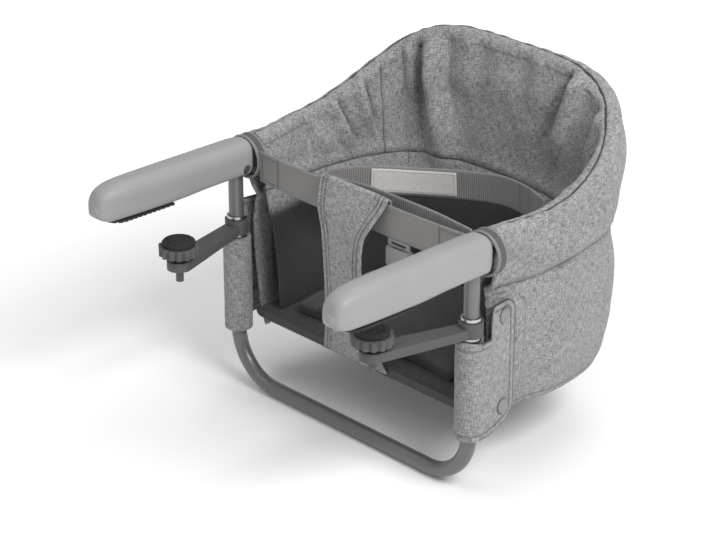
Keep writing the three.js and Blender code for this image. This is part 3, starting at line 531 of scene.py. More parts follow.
class Skin:
    """Grids of quads that share points, gathered into one closed mesh."""

    # How far a sheet's edge reaches out, as a share of half its thickness.
    EDGE_REACH = 0.85

    def __init__(self) -> None:
        """Starts with no points."""
        self.points: list[Points] = []
        self.paint: list[Points] = []
        self.faces: list[Points] = []
        self.corners: list[Points] = []
        self.slots: list[Points] = []
        self.count = 0

    def add_points(self, points: Points, paint: Points | float = 0.0) -> Points:
        """Adds points of any grid shape.

        Args:
            points: places, (..., 3).
            paint: how dark each is painted, for seams and painted shade, from 0 to 1.

        Returns:
            Each point's number, in the grid's shape.
        """
        shape = points.shape[:-1]
        number = int(np.prod(shape))
        self.points.append(points.reshape(-1, 3))
        self.paint.append(np.broadcast_to(paint, shape).reshape(-1))
        index = np.arange(number).reshape(shape) + self.count
        self.count += number
        return index

    def add_quads(self, index: Points, cloth: Points, slot: int = 0) -> None:
        """Adds the quads between neighbours of a grid of point numbers.

        Args:
            index: point numbers, (rows, columns).
            cloth: cloth coordinates in millimetres of the same grid, (rows, columns, 2).
            slot: the material's number.
        """
        def corners(grid: Points) -> Points:
            """The four corners of each cell, in order round it."""
            return np.stack([grid[:-1, :-1], grid[:-1, 1:], grid[1:, 1:], grid[1:, :-1]], axis=2)

        faces = corners(index).reshape(-1, 4)
        self.faces.append(faces)
        self.corners.append(corners(cloth).reshape(-1, 4, 2))
        self.slots.append(np.full(len(faces), slot))

    def face_out(self, start: int) -> None:
        """Turns the faces added since a start outwards.

        The volume under them, a sum of a . (b x c) over their triangles, is positive when they face out.

        Args:
            start: how many grids of faces there were before.
        """
        points = np.concatenate(self.points)
        faces = np.concatenate(self.faces[start:])
        a, b, c, d = (points[faces[:, k]] for k in range(4))
        volume = (a * (np.cross(b, c) + np.cross(c, d))).sum()
        if volume < 0:
            self.faces[start:] = [grid[:, ::-1] for grid in self.faces[start:]]
            self.corners[start:] = [grid[:, ::-1] for grid in self.corners[start:]]

    def add_sheet(self, points: Points, thickness: float | Points, paint: Points | float = 0.0,
                  slot: int = 0, cloth: Points | None = None) -> None:
        """Gives a grid of points a thickness and rounds its free edges.

        The two faces stand half the thickness to each side along the grid's normals. A row of points
        between them rounds the edge, moved outward by most of half the thickness.

        Args:
            points: the middle of the sheet, (rows, columns, 3).
            thickness: its thickness, one number or a grid.
            paint: paint of the grid's outer face, for seams and painted shade.
            slot: the material's number.
            cloth: cloth coordinates of the grid in millimetres, or else distances along the grid.
        """
        start = len(self.faces)
        rows, cols = shape = points.shape[:2]
        half = np.broadcast_to(np.asarray(thickness, float), shape)[..., None] / 2
        lift = grid_normals(points) * half
        if cloth is None:
            cloth = grid_of(travelled(points, 1), travelled(points, 0))
        outer, inner = self.add_points(points + lift, paint), self.add_points(points - lift)
        self.add_quads(outer, cloth, slot)
        self.add_quads(inner[:, ::-1], cloth[:, ::-1], slot)
        across, down = np.arange(cols), np.arange(rows)
        r = np.concatenate([0 * across, down[1:], np.full(cols - 1, rows - 1), down[-2::-1]])
        c = np.concatenate([across, np.full(rows - 1, cols - 1), across[-2::-1], 0 * down[1:]])
        away = unit(points[r, c] - points[np.clip(r, 1, rows - 2), np.clip(c, 1, cols - 2)])
        rim = points[r, c] + away * half[r, c] * self.EDGE_REACH
        middle = self.add_points(rim[:-1], np.broadcast_to(paint, shape)[r, c][:-1])
        strip = np.stack([inner[r, c], np.append(middle, middle[0]), outer[r, c]])
        span = np.stack([cloth[r, c] + way * float(half.mean()) for way in (0.0, 0.5, 1.0)])
        self.add_quads(strip, span, slot)
        self.face_out(start)

    def add_loft(self, rings: Points, paint: Points | float = 0.0, caps: bool = True) -> None:
        """Skins rings of points and closes both ends with shrinking rings and a point.

        Args:
            rings: rings in order, each closed and without its first point repeated, (rings, points, 3).
            paint: paint for seams and painted shade, (rings, points).
            caps: whether the ends are closed, or else the last ring joins the first.
        """
        start = len(self.faces)
        index = self.add_points(rings, paint)
        closed, index = (np.concatenate([grid, grid[:, :1]], axis=1) for grid in (rings, index))
        if not caps:
            closed, index = (np.concatenate([grid, grid[:1]]) for grid in (closed, index))
        self.add_quads(index, grid_of(travelled(closed, 1), travelled(closed, 0)))
        for end, way in ((0, -1), (-1, 1)) if caps else ():
            middle = rings[end].mean(axis=0)
            inside = self.add_points(mix(rings[end], middle, 0.5))
            hub = self.add_points(middle[None])
            levels = np.stack([index[end], np.append(inside, inside[0]), np.repeat(hub, index.shape[1])])
            flat = closed[end] - middle
            first = unit(flat[0])
            second = unit(np.cross(unit(np.cross(flat[0], flat[len(flat) // 3])), first))
            plane = grid_of(flat @ first, flat @ second)
            span = np.stack([plane * size for size in (1.0, 0.5, 0.0)])
            self.add_quads(levels[:, ::way], span[:, ::way])
        self.face_out(start)

    def build(self, name: str, *finishes: Finish) -> Piece:
        """Makes the mesh. Quads whose corners coincide become triangles, or are left out.

        Args:
            name: the piece's name.
            finishes: its materials, in the order of the slot numbers.

        Returns:
            The object, at the origin.
        """
        faces, corners, slots = (np.concatenate(part) for part in (self.faces, self.corners, self.slots))
        keep = faces != np.roll(faces, 1, axis=1)
        whole = keep.sum(axis=1) >= 3
        faces, corners, slots, keep = faces[whole], corners[whole], slots[whole], keep[whole]
        counts = keep.sum(axis=1)
        mesh = bpy.data.meshes.new(name)
        mesh.vertices.add(self.count)
        mesh.vertices.foreach_set("co", single(np.concatenate(self.points) * MM))
        mesh.loops.add(int(counts.sum()))
        mesh.loops.foreach_set("vertex_index", faces[keep].astype(np.int32))
        mesh.polygons.add(len(faces))
        mesh.polygons.foreach_set("loop_start", (np.cumsum(counts) - counts).astype(np.int32))
        mesh.polygons.foreach_set("material_index", slots.astype(np.int32))
        mesh.polygons.foreach_set("use_smooth", np.ones(len(faces), bool))
        mesh.uv_layers.new(name=CLOTH_MAP).uv.foreach_set("vector", single(corners[keep] * MM))
        paint_seams_and_shade(mesh, np.concatenate(self.paint))
        mesh.update(calc_edges=True)
        mesh.validate()
        for finish in finishes:
            mesh.materials.append(finish.material)
        made = placed(name, mesh)
        finishes[0].slot
        return made


def placed(name: str, data: bpy.types.ID) -> Piece:
    """A new object in the scene, with that data."""
    made = bpy.data.objects.new(name, data)
    bpy.context.scene.collection.objects.link(made)
    return made


def single(values: Points) -> Points:
    """Numbers in one row, in single precision, as foreach_set takes them."""
    return values.astype(np.float32).ravel()


def paint_seams_and_shade(mesh: bpy.types.Mesh, paint: Points) -> None:
    """Stores the paint of a mesh's points for seams and painted shade, over what it may have."""
    layer = mesh.attributes.get(SEAM_AND_SHADE_PAINT) or mesh.attributes.new(SEAM_AND_SHADE_PAINT, "FLOAT", "POINT")
    layer.data.foreach_set("value", single(paint))


def add_stitches(skin: Skin, route: Points, up: Points, slot: int, pitch: float = 3.4,
                 share: float = 0.68, width: float = 0.55) -> None:
    """Sews a row of stitches along a route.

    Each stitch is a small closed bead: along its length it follows half a sine from the cloth up and
    down again, and its section is a six-sided ring that shrinks to a point at both ends.

    Args:
        skin: the piece that is sewn.
        route: the row's places, (number, 3).
        up: the cloth's outward direction at each place, (number, 3).
        slot: the thread's material number.
        pitch, share: distance from stitch to stitch, and how much of it a stitch covers.
        width: half the thread's width.
    """
    ring, steps, flatness = 6, 5, 0.7
    run = travelled(route, 0)
    number = max(int(run[-1] / pitch), 1)
    begin = (np.arange(number) + 0.5) * run[-1] / number
    along = np.linspace(-0.5, 0.5, steps)
    goal = begin[:, None] + along[None] * run[-1] / number * share
    place = along_route(route, run, goal)
    stand = unit(along_route(up, run, goal))
    side = unit(np.cross(unit(np.gradient(place, axis=1)), stand))
    arch = np.sin(np.pi * (along + 0.5))
    swell = (arch**0.5 * 0.96 + 0.04)[None, :, None, None]
    centre = place + stand * ((arch - 0.55) * width * 0.8)[None, :, None]
    angle = (TURN * np.arange(ring) / ring)[None, None, :, None]
    rings = centre[:, :, None] + swell * width * (side[:, :, None] * np.cos(angle)
                                                  + stand[:, :, None] * np.sin(angle) * flatness)
    index = skin.add_points(rings)
    tips = np.repeat(skin.add_points(centre[:, [0, -1]])[..., None], ring, axis=2)
    whole = np.concatenate([tips[:, :1], index, tips[:, 1:]], axis=1)
    whole = np.concatenate([whole, whole[:, :, :1]], axis=2)
    cloth = grid_of(np.linspace(0, 2, steps + 2)[:, None], np.linspace(0, 2, ring + 1)[None])
    start = len(skin.faces)
    skin.add_quads(whole.reshape(-1, ring + 1), np.tile(cloth, (number, 1, 1)), slot)
    skin.face_out(start)


def lathe(skin: Skin, profile: Points, centre: Points, axis: Points, turns: int = 40) -> None:
    """Turns a profile round an axis: each ring has the profile's radius at its height along the axis.

    Args:
        skin: where it goes.
        profile: radius and height, (number, 2).
        centre, axis: the axis's foot and direction.
        turns: points round a ring.
    """
    axis = unit(np.asarray(axis, float))
    first = unit(np.cross(axis, np.array([0.0, 0.3, 1.0])))
    second = np.cross(axis, first)
    angle = TURN * np.arange(turns) / turns
    spoke = np.cos(angle)[:, None] * first + np.sin(angle)[:, None] * second
    rings = centre + profile[:, :1, None] * spoke[None] + profile[:, 1:, None] * axis
    skin.add_loft(rings)


def pipe(route: Points, radius: float, sides: int) -> Points:
    """Rings of a tube: circles square to a route, turned so that they don't twist.

    Args:
        route: the tube's middle, (number, 3).
        radius: the tube's radius.
        sides: points round a ring.

    Returns:
        The rings, (number, sides, 3).
    """
    along = unit(np.gradient(route, axis=0))
    flat = np.cross(along[0], along[len(along) // 2])
    steady = unit(flat if np.linalg.norm(flat) > 1e-3 else np.array([1.0, 0.0, 0.0]))
    side = unit(steady - (along @ steady)[:, None] * along)
    up = np.cross(along, side)
    angle = (TURN * np.arange(sides) / sides)[None, :, None]
    return route[:, None] + radius * (np.cos(angle) * side[:, None] + np.sin(angle) * up[:, None])


def cut_away(piece: Piece, skin: Skin) -> None:
    """Takes a closed skin out of a piece.

    Args:
        piece: what is cut.
        skin: the cutter's surface.
    """
    tool = skin.build("cutter", Finish.ARM)
    change = piece.modifiers.new("cut", "BOOLEAN")
    change.operation, change.solver, change.object = "DIFFERENCE", "EXACT", tool
    old = piece.data
    settle(piece)
    bpy.data.meshes.remove(old)
    bpy.data.objects.remove(tool)


def crease_by_angle(piece: Piece, degrees: float) -> None:
    """Shades a piece smooth except over edges sharper than an angle."""
    piece.data.polygons.foreach_set("use_smooth", np.ones(len(piece.data.polygons), bool))
    piece.data.set_sharp_from_angle(angle=math.radians(degrees))


def rounded_copy(node: str, finish: Finish, width: float) -> Piece:
    """A moulded copy of a CAD node, with its sharp edges rounded over.

    Args:
        node: the CAD node.
        finish: its finish.
        width: width of the rounding, in millimetres.

    Returns:
        The new piece, which replaces the node.
    """
    sharp_edge, crease, flat = math.radians(32), 34.0, math.radians(1)
    name = f"{node}_rounded"
    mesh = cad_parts[node].data.copy()
    mesh.name = name
    work = bmesh.new()
    work.from_mesh(mesh)
    bmesh.ops.remove_doubles(work, verts=work.verts, dist=2e-6)
    bmesh.ops.dissolve_limit(work, angle_limit=flat, verts=work.verts, edges=work.edges)
    sharp = [edge for edge in work.edges
             if len(edge.link_faces) == 2 and edge.calc_face_angle(0.0) > sharp_edge]
    bmesh.ops.bevel(work, geom=sharp, offset=width * MM, segments=2, profile=0.6, affect="EDGES",
                    clamp_overlap=True)
    bmesh.ops.triangulate(work, faces=[face for face in work.faces if len(face.verts) > 4])
    work.to_mesh(mesh)
    work.free()
    mesh.materials.clear()
    mesh.materials.append(finish.material)
    piece = placed(name, mesh)
    crease_by_angle(piece, crease)
    finish.slot
    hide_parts(node)
    return piece


def settle(piece: Piece) -> None:
    """Applies a piece's modifiers to its mesh."""
    bpy.context.view_layer.update()
    mesh = bpy.data.meshes.new_from_object(piece.evaluated_get(bpy.context.evaluated_depsgraph_get()))
    piece.modifiers.clear()
    piece.data = mesh


# ---------------- the chair's layout


class Side(Enum):
    """A side of the chair, whose value is the sign of X."""

    LEFT = 1
    RIGHT = -1

    def mirrored(self, points: Points) -> Points:
        """Points of the left side, moved to this side."""
        return points * np.array([self.value, 1.0, 1.0])

    @property
    def word(self) -> str:
        """The side's word in names."""
        return self.name.lower()


@dataclass
class Stations:
    """Places along the hoop, as arrays with one entry a station.

    Attributes:
        place: x and y of the hoop's axis.
        out: direction away from the seat, in plan.
        height: the hoop's height.
        stretch: how much its climb stretches a ring round it upwards.
        share: share of the way round.
        length: distance from the first station to the last, in plan.
    """

    place: Points
    out: Points
    height: Points
    stretch: Points
    share: Points
    length: float

    @property
    def back(self) -> Points:
        """How far back each station is, in one row."""
        return self.place[:, 1][None]

    @property
    def across(self) -> Points:
        """Distance of each station round the seat from the left arm, in one row."""
        return (self.share * self.length)[None]

    def at(self, offset: Points, z: Points) -> Points:
        """Points at an offset outward from the hoop's axis and at a height, (..., stations, 3)."""
        plan = self.place + offset[..., None] * self.out
        return np.concatenate([plan, np.broadcast_to(z, offset.shape)[..., None]], axis=-1)


@dataclass
class HoopPlan:
    """The hoop's plan, which the rim, the wall and the lining follow.

    It is a superellipse: y = start + (depth - start) sin^e and x = half cos^e with e = 2 / power. Its
    half width flares behind the arms, and it climbs by its rise with the cube of the way back.
    """

    half_width: float = 180.0
    depth: float = 250.0
    start: float = 26.0
    flare: float = 70.0
    power: float = 4.4
    rise: float = 89.0

    def __post_init__(self) -> None:
        """Works out the dense curve and the distance along it."""
        angle = np.linspace(0, np.pi, 6001)
        turn = 2 / self.power
        y = mix(self.start, self.depth, np.clip(np.sin(angle), 0, 1) ** turn)
        half = mix(ARM_X, self.half_width, smooth((y - self.start) / self.flare))
        x = half * np.sign(np.cos(angle)) * np.abs(np.cos(angle)) ** turn
        self.curve = np.concatenate([[[ARM_X, 0.0]], np.stack([x, y], axis=1), [[-ARM_X, 0.0]]])
        self.run = travelled(self.curve, 0)

    def height(self, y: Points) -> Points:
        """The hoop's height: its height in the arms + rise * back^3."""
        return HOOP_Z + self.rise * np.clip((y - self.start) / (self.depth - self.start), 0, 1) ** 3

    def fullness(self, s: Stations) -> Points:
        """How much fuller the seat's wall is than the hoop: 8 mm at the back and none at the arms."""
        return 8.0 * smooth((s.place[:, 1] - self.start) / 90.0)

    def stations(self, shares: Points, start: float | None = None) -> Stations:
        """Stations at shares of the way round, with slopes taken over 3 mm of the curve.

        Args:
            shares: from 0, beside the left arm, to 1, beside the right arm.
            start: distance from the arm's axis plane at which share 0 lies.

        Returns:
            The stations.
        """
        begin = self.start if start is None else start
        reach = 1.5
        goal = mix(begin, self.run[-1] - begin, shares)
        place, ahead, behind = (along_route(self.curve, self.run, goal + step)
                                for step in (0, reach, -reach))
        along = unit(ahead - behind)
        slope = (self.height(ahead[:, 1]) - self.height(behind[:, 1])) / (2 * reach)
        out = np.stack([along[:, 1], -along[:, 0]], axis=-1)
        length = self.run[-1] - 2 * begin
        return Stations(place, out, self.height(place[:, 1]), np.hypot(1, slope), shares, length)


# Where the rim's seam runs on the roll: share of the way round, and degrees from straight out.
RIM_SEAM = (
    (0.0, 88), (0.04, 84), (0.14, 66), (0.21, 84), (0.27, 122), (0.33, 126), (0.39, 104), (0.5, 84),
    (0.62, 84), (0.72, 96), (0.8, 84), (0.9, 78), (1.0, 88),
)
# How far the outer cloth and the lining pass the seam, in radians.
RIM_LAP = 0.06


def seam_angle(share: Points) -> Points:
    """Where the rim's seam runs on the roll, in radians from straight out, over the top."""
    places, degrees = zip(*RIM_SEAM)
    return np.radians(np.interp(share, places, degrees))


def seam_dip(angle: Points, share: Points) -> Points:
    """How far both cloths dip into the rim's seam: a bell 1 mm deep over the angle from it."""
    return bell(angle - seam_angle(share)[None], 0.16)


@dataclass
class Fold:
    """A fold of the lining: a valley along a line down the wall, with a ridge beside it.

    Attributes:
        top, low: share of the way round and height of its upper end, and of its lower end.
        width, depth: half width and depth of the valley.
        ridge: side of the ridge, 1 towards the right arm and -1 towards the left.
    """

    top: tuple[float, float]
    low: tuple[float, float]
    width: float
    depth: float
    ridge: float

    def lift(self, s: Stations, z: Points) -> Points:
        """How far the fold moves the wall towards the child.

        Minus a bell across the line for the valley, plus a wider bell beside it for the ridge, both
        faded in and out along the line. The fold widens downwards.

        Args:
            s: the stations.
            z: height of each point, (rows, stations).

        Returns:
            The movement of each point.
        """
        way = (self.top[1] - z) / (self.top[1] - self.low[1])
        across = (s.share - mix(self.top[0], self.low[0], way)) * s.length
        fade = smooth((way + 0.12) / 0.22) * smooth((1.25 - way) / 0.6)
        width = self.width * (0.75 + 0.5 * np.clip(way, 0, 1))
        ridge = bell(across - self.ridge * 2.0 * width, 1.5 * width)
        return self.depth * fade * (0.8 * ridge - 0.5 * bell(across, width))


@dataclass
class Drape:
    """A soft ridge of the outer cloth along a straight line, the same on both sides.

    Attributes:
        low, top: distance round the seat from the arm, and height, of its lower and upper end.
        width, height: the ridge's half width, and how far it stands out.
    """

    low: tuple[float, float]
    top: tuple[float, float]
    width: float
    height: float

    def lift(self, s: Stations, z: Points) -> Points:
        """How far the ridge stands out: a bell across its line, faded in and out along it.

        Args:
            s: the stations.
            z: height of each point, (rows, stations).

        Returns:
            The movement of each point, on both sides. The right side's line starts 9 mm nearer its arm.
        """
        run = np.subtract(self.top, self.low)
        length = float(np.hypot(*run))
        total = 0.0
        for across in (s.across, s.length - s.across + 9.0):
            dx, dz = across - self.low[0], z - self.low[1]
            along, aside = (dx * run[0] + dz * run[1]) / length**2, (dx * run[1] - dz * run[0]) / length
            fade = smooth((along + 0.1) / 0.4) * smooth((1.15 - along) / 0.45)
            total = total + fade * bell(aside, self.width)
        return self.height * total


# ---------------- fabric seat


@dataclass
class FabricSeat:
    """The padded seat: outer shell with its rolled rim, gathered lining, cushion and base.

    Attributes:
        side_drop, drop_reach: how much lower the wall's edge is beside the uprights, and over which way.
        waist: height at the back where the wall is narrowest.
        seam_waist, belt_seam: heights of the seam round it, and of the lining's seam above the belt.
        roll: radius of the rim's roll round the hoop's axis.
        wall: offset of each control point up the wall, and its shares of the wave and of the fullness.
    """

    plan: HoopPlan
    side_drop: float = 15.0
    drop_reach: float = 70.0
    waist: float = -22.0
    seam_waist: float = -17.0
    belt_seam: float = -18.0
    roll: float = 11.5
    cloth: float = 3.0
    wall: tuple[tuple[float, float, float], ...] = (
        (-13.0, 0, 1), (-6.5, 0, 1), (-2.6, 1 / 2, 1), (1.5, 1, 1), (1.5, 1, 1), (-4.2, 0, 1),
        (5.6, -1 / 2, 1), (8.8, -1 / 3, 0.85), (11.5, 0, 0.12),
    )
    drapes: tuple[Drape, ...] = (
        Drape((10, -52), (104, -22), 4.5, 4.0), Drape((70, -12), (150, 22), 5.0, 3.2),
        Drape((26, -8), (84, 14), 5.0, 2.4), Drape((64, -132), (150, -84), 8.0, 2.2),
        Drape((190, -128), (262, -66), 9.0, 2.0),
    )
    folds: tuple[Fold, ...] = (
        Fold((0.684, 108), (0.661, -8), 10.5, 20.0, -1), Fold((0.716, 98), (0.708, 40), 5.0, 7.0, -1),
        Fold((0.792, 92), (0.771, 16), 4.5, 13.0, 1), Fold((0.840, 58), (0.806, -4), 5.0, 14.0, 1),
        Fold((0.385, 122), (0.424, 30), 10.0, 19.0, -1), Fold((0.300, 100), (0.322, -5), 8.0, 10.0, -1),
        Fold((0.235, 68), (0.240, 20), 6.0, 7.0, 1), Fold((0.165, 50), (0.180, 4), 6.0, 7.0, -1),
        Fold((0.095, 36), (0.110, 0), 5.0, 5.0, 1), Fold((0.565, 122), (0.556, 60), 12.0, 5.0, 1),
        Fold((0.475, 122), (0.482, 70), 12.0, 5.0, -1), Fold((0.905, 38), (0.892, 4), 6.0, 5.0, -1),
        Fold((0.630, 114), (0.622, 58), 8.0, 6.0, 1),
    )

    def sink(self, y: Points) -> Points:
        """How much lower the waist lies near the arms than at the back: up to 10 mm."""
        return -10.0 * (1 - smooth((y - self.plan.start) / 140.0))

    def hem_height(self, y: Points) -> Points:
        """Height of the hem's stitching, 7 mm above the wall's lower edge."""
        front = 1 - smooth((y - self.plan.start) / self.drop_reach)
        return SEAT_FLOOR + 7.0 - self.side_drop * front - 7.0 * smooth((y - 60.0) / 60.0)

    def wall_controls(self, s: Stations) -> Points:
        """Control points of the wall's section, which waves in and out round the seat.

        Args:
            s: the stations.

        Returns:
            Offset and height, from the hem up to the roll, (controls, stations, 2).
        """
        y = s.place[:, 1]
        bulges = (0.12, 0.24, 0.36, 0.52, 0.66, 0.8, 0.92)
        wave = 3.0 * (sum(bell(s.share - place, 0.022) for place in bulges) - 0.4)
        full = self.plan.fullness(s)
        waist = self.waist + self.sink(y)
        band = s.height - waist
        heights = [self.hem_height(y) - 7.0, *(SEAT_FLOOR + up for up in (8, 29, 65, 104)), waist + 3,
                   waist + band * 0.28, waist + band * 0.58, s.height - 2.0]
        return np.stack([grid_of(offset + waving * wave + filled * full, height)
                         for (offset, waving, filled), height in zip(self.wall, heights)])

    def shell_profile(self, s: Stations) -> Points:
        """The outer cloth's section: a Catmull-Rom curve up the wall, and an arc round the hoop's axis.

        The arc's radius has short waves of half a millimetre and dips into the rim's seam.

        Args:
            s: the stations.

        Returns:
            Offset and height of the cloth's middle, (rows, stations, 2).
        """
        wall = spline(self.wall_controls(s), 86)[:-1]
        wall[..., 0] -= self.cloth / 2
        angle = np.linspace(0, 1, 30)[:, None] * (seam_angle(s.share) + RIM_LAP)[None]
        phase = s.across / 4.3 + 2.4 * ripple(1, len(s.share), (1, 30), 3)
        swell = 0.5 * np.sin(phase) * smooth(angle / 1.4) - seam_dip(angle, s.share)
        radius = self.roll - self.cloth / 2 + swell
        arc = grid_of(radius * np.cos(angle), s.height + radius * s.stretch * np.sin(angle))
        return evened(np.concatenate([wall, arc]), 3)

    def shell_relief(self, s: Stations, z: Points) -> Points:
        """How far the outer cloth stands out from its section.

        Slanting and random waves swell the band above the waist's seam and the pouch below it. Puckers
        run along the seam, which is a valley between two ridges. The drapes, the groove along the hem
        and the welt come on top.

        Args:
            s: the stations.
            z: height of each point, (rows, stations).

        Returns:
            The movement of each point.
        """
        rows, cols = z.shape
        above = z - self.seam_waist - self.sink(s.back)
        band = smooth((z - self.waist) / 20) * smooth((s.height + 4 - z) / 22)
        pouch = smooth((self.waist - z) / 16) * smooth((z - SEAT_FLOOR) / 26)
        slant = np.sin((s.across * 0.9 + (z - s.height) * 1.25) / 19.0)
        wide, fine = ripple(rows, cols, (5, 22), 11), ripple(rows, cols, (16, 70), 12)
        pucker = np.sin(s.across / 2.7 + 3 * ripple(1, cols, (1, 44), 5)) * bell(above, 9.0)
        lift = band * (2.3 * slant + 2.2 * wide) + pouch * 2.2 * wide + 0.35 * fine * (band + pouch)
        lift = lift + 0.5 * pucker - 1.5 * bell(above, 2.0) + 0.9 * bell(np.abs(above) - 6.0, 3.4)
        lift = lift + sum(drape.lift(s, z) for drape in self.drapes)
        return lift - 0.8 * bell(z - self.hem_height(s.back), 1.1) + self.welt(s.back, z)[0]

    def shell_paint(self, s: Stations, z: Points) -> Points:
        """Seam paint and painted shade of the outer cloth: the waist's broken seam with painted shade in
        its crease, hem, welt with a painted shadow along the flap's edge, ends and rim.

        Args:
            s: the stations.
            z: height of each point, (rows, stations).

        Returns:
            The paint of each point, from 0 to 1.
        """
        rows, cols = z.shape
        above = z - self.seam_waist - self.sink(s.back)
        # Partly painted shade: the waist's thin seam line, darkest where the crease's painted shade
        # falls, and a wide faint bell of painted shade in the crease.
        broken = smooth((ripple(1, cols, (1, 26), 8) + 0.55) / 0.5)
        waist = (bell(above, 0.8) * (0.15 + 0.6 * broken) + 0.08 * bell(above, 5.0) * broken) * (z < 0)
        _, welt_edge, flap_edge_shadow = self.welt(s.back, z)
        # The flap's edge line is painted shadow, where shade falls in the gap under the flap.
        welt = 0.4 * welt_edge + 0.85 * flap_edge_shadow
        front = bell(s.across - 7.0, 1.2) + bell(s.length - s.across - 7.0, 1.2)
        hem = bell(z - self.hem_height(s.back), 1.1)
        paint = np.clip(waist + 0.55 * hem + welt + 0.25 * front, 0, 0.95)
        row = np.arange(rows)[:, None]
        rim = 0.95 * (row >= rows - 3) + 0.6 * (row == rows - 4)
        return np.clip(paint + rim * (0.35 + 0.65 * smooth((s.back - 70) / 60)), 0, 0.97)

    def shell(self) -> tuple[Piece, Piece]:
        """The outer cloth: up the wall, over the hoop in a roll and to the rim's seam.

        The pouch is tucked 2.6 mm behind the band at the waist's seam, and both are thicker beside the
        arms, where the cloth is turned over.

        Returns:
            The pouch below the waist's seam, and the band above it.
        """
        s = self.plan.stations(np.linspace(0, 1, 381))
        profile = self.shell_profile(s)
        z = profile[..., 1]
        offset = profile[..., 0] + self.shell_relief(s, z)
        paint = self.shell_paint(s, z)
        grain = grid_of(s.across, travelled(profile, 0))
        cuff = smooth((9.0 - s.across) / 3) + smooth((9.0 - s.length + s.across) / 3)
        thick = np.broadcast_to(self.cloth + 1.8 * cuff, z.shape)
        rows = np.arange(len(z))[:, None]
        split = int(np.argmin(np.abs(z - self.seam_waist - self.sink(s.back))[:, 0]))
        tuck = 2.6 * smooth((rows - split) / 2.0)
        pouch, band = Skin(), Skin()
        for skin, keep, inward in ((pouch, slice(0, split + 3), tuck), (band, slice(split, None), 0.0)):
            skin.add_sheet(s.at(offset - inward, z)[keep], thick[keep], paint[keep], cloth=grain[keep])
        self.sew_hem(pouch, s)
        return (pouch.build("seat_pouch_cloth", Finish.CLOTH, Finish.THREAD),
                band.build("seat_band_cloth", Finish.CLOTH))

    def welt(self, y: Points, z: Points) -> tuple[Points, Points, Points]:
        """The padded welt round the flap, a band between two rounded outlines on each side.

        Args:
            y, z: how far back each point is, and its height.

        Returns:
            How far the welt stands out, the paint along its outer edge, and a painted shadow along the
            flap's edge.
        """
        middle, half, corner, back, width = -93.0, 60.0, 20.0, 66.0, 13.6
        dy = np.maximum(y - (back - corner), 0)
        dz = np.maximum(np.abs(z - middle) - (half - corner), 0)
        outside = np.hypot(dy, dz) - corner
        inner_edge = smooth((y - 50.5) / 3.0) + smooth((z + 40) / 3)
        lift = 2.3 * smooth(-outside / 3.2) * np.clip(inner_edge, 0.25, 1)
        near = (y < 90) & (z < -20)
        # Painted shadow: a dark line along the flap's free edge, 13.6 mm inside the welt's outer edge.
        line = bell(outside + width, 1.9) * (y > 20) * (z < -31)
        return lift * near, bell(outside, 1.0) * near * (z > -150), line * near

    def sew_hem(self, skin: Skin, s: Stations) -> None:
        """Stitches the wall's hem.

        Args:
            skin: the wall below the waist's seam.
            s: its stations.
        """
        height = self.hem_height(s.place[:, 1])
        low = spline(self.wall_controls(s), 60)[:20]
        offset = np.array([np.interp(z, *part[:, ::-1].T)
                           for z, part in zip(height, low.swapaxes(0, 1))])
        out = np.concatenate([s.out, np.full((len(height), 1), -0.25)], axis=1)
        add_stitches(skin, s.at(offset - 0.9, height)[6:-6], out[6:-6], 1)

    def belt_seam_height(self, share: Points) -> Points:
        """Height of the seam above the belt, which rises a little behind the child."""
        return self.belt_seam + 9.0 * bell(share - 0.52, 0.16)

    def lining_profile(self, s: Stations, roll: int, upper: int, lower: int) -> Points:
        """Section of the lining's visible face, before its folds.

        From the seam it follows the roll to its inner side and then hangs: its inset grows from the
        roll's to the pad's with a smooth step of the height. One row lies along the band's seam.

        Args:
            s: the stations.
            roll, upper, lower: rows on the roll, from it to the band's seam, and on to the cushion.

        Returns:
            Offset and height, (rows, stations, 2).
        """
        radius, waist_inset, pad_inset = self.roll - 0.2, 17.6, 40.0
        angle = mix((seam_angle(s.share) - RIM_LAP)[None], np.pi, np.linspace(0, 1, roll)[:, None])
        dip = radius - self.cloth / 2 - seam_dip(angle, s.share)
        arc = grid_of(dip * np.cos(angle), s.height + dip * s.stretch * np.sin(angle))
        low = SEAT_FLOOR + 9.6
        band = self.belt_seam_height(s.share)[None]
        z = np.concatenate([mix(s.height[None], band, np.linspace(0, 1, upper + 1)[1:, None]),
                            mix(band, low, np.linspace(0, 1, lower + 1)[1:, None])])
        way = (s.height - z) / (s.height - low)
        inset = mix(pad_inset, waist_inset, smooth(1 - way))
        inset = inset - (waist_inset - radius) * (1 - smooth(way / 0.16))
        return evened(np.concatenate([arc, grid_of(-inset, z)]), 2)

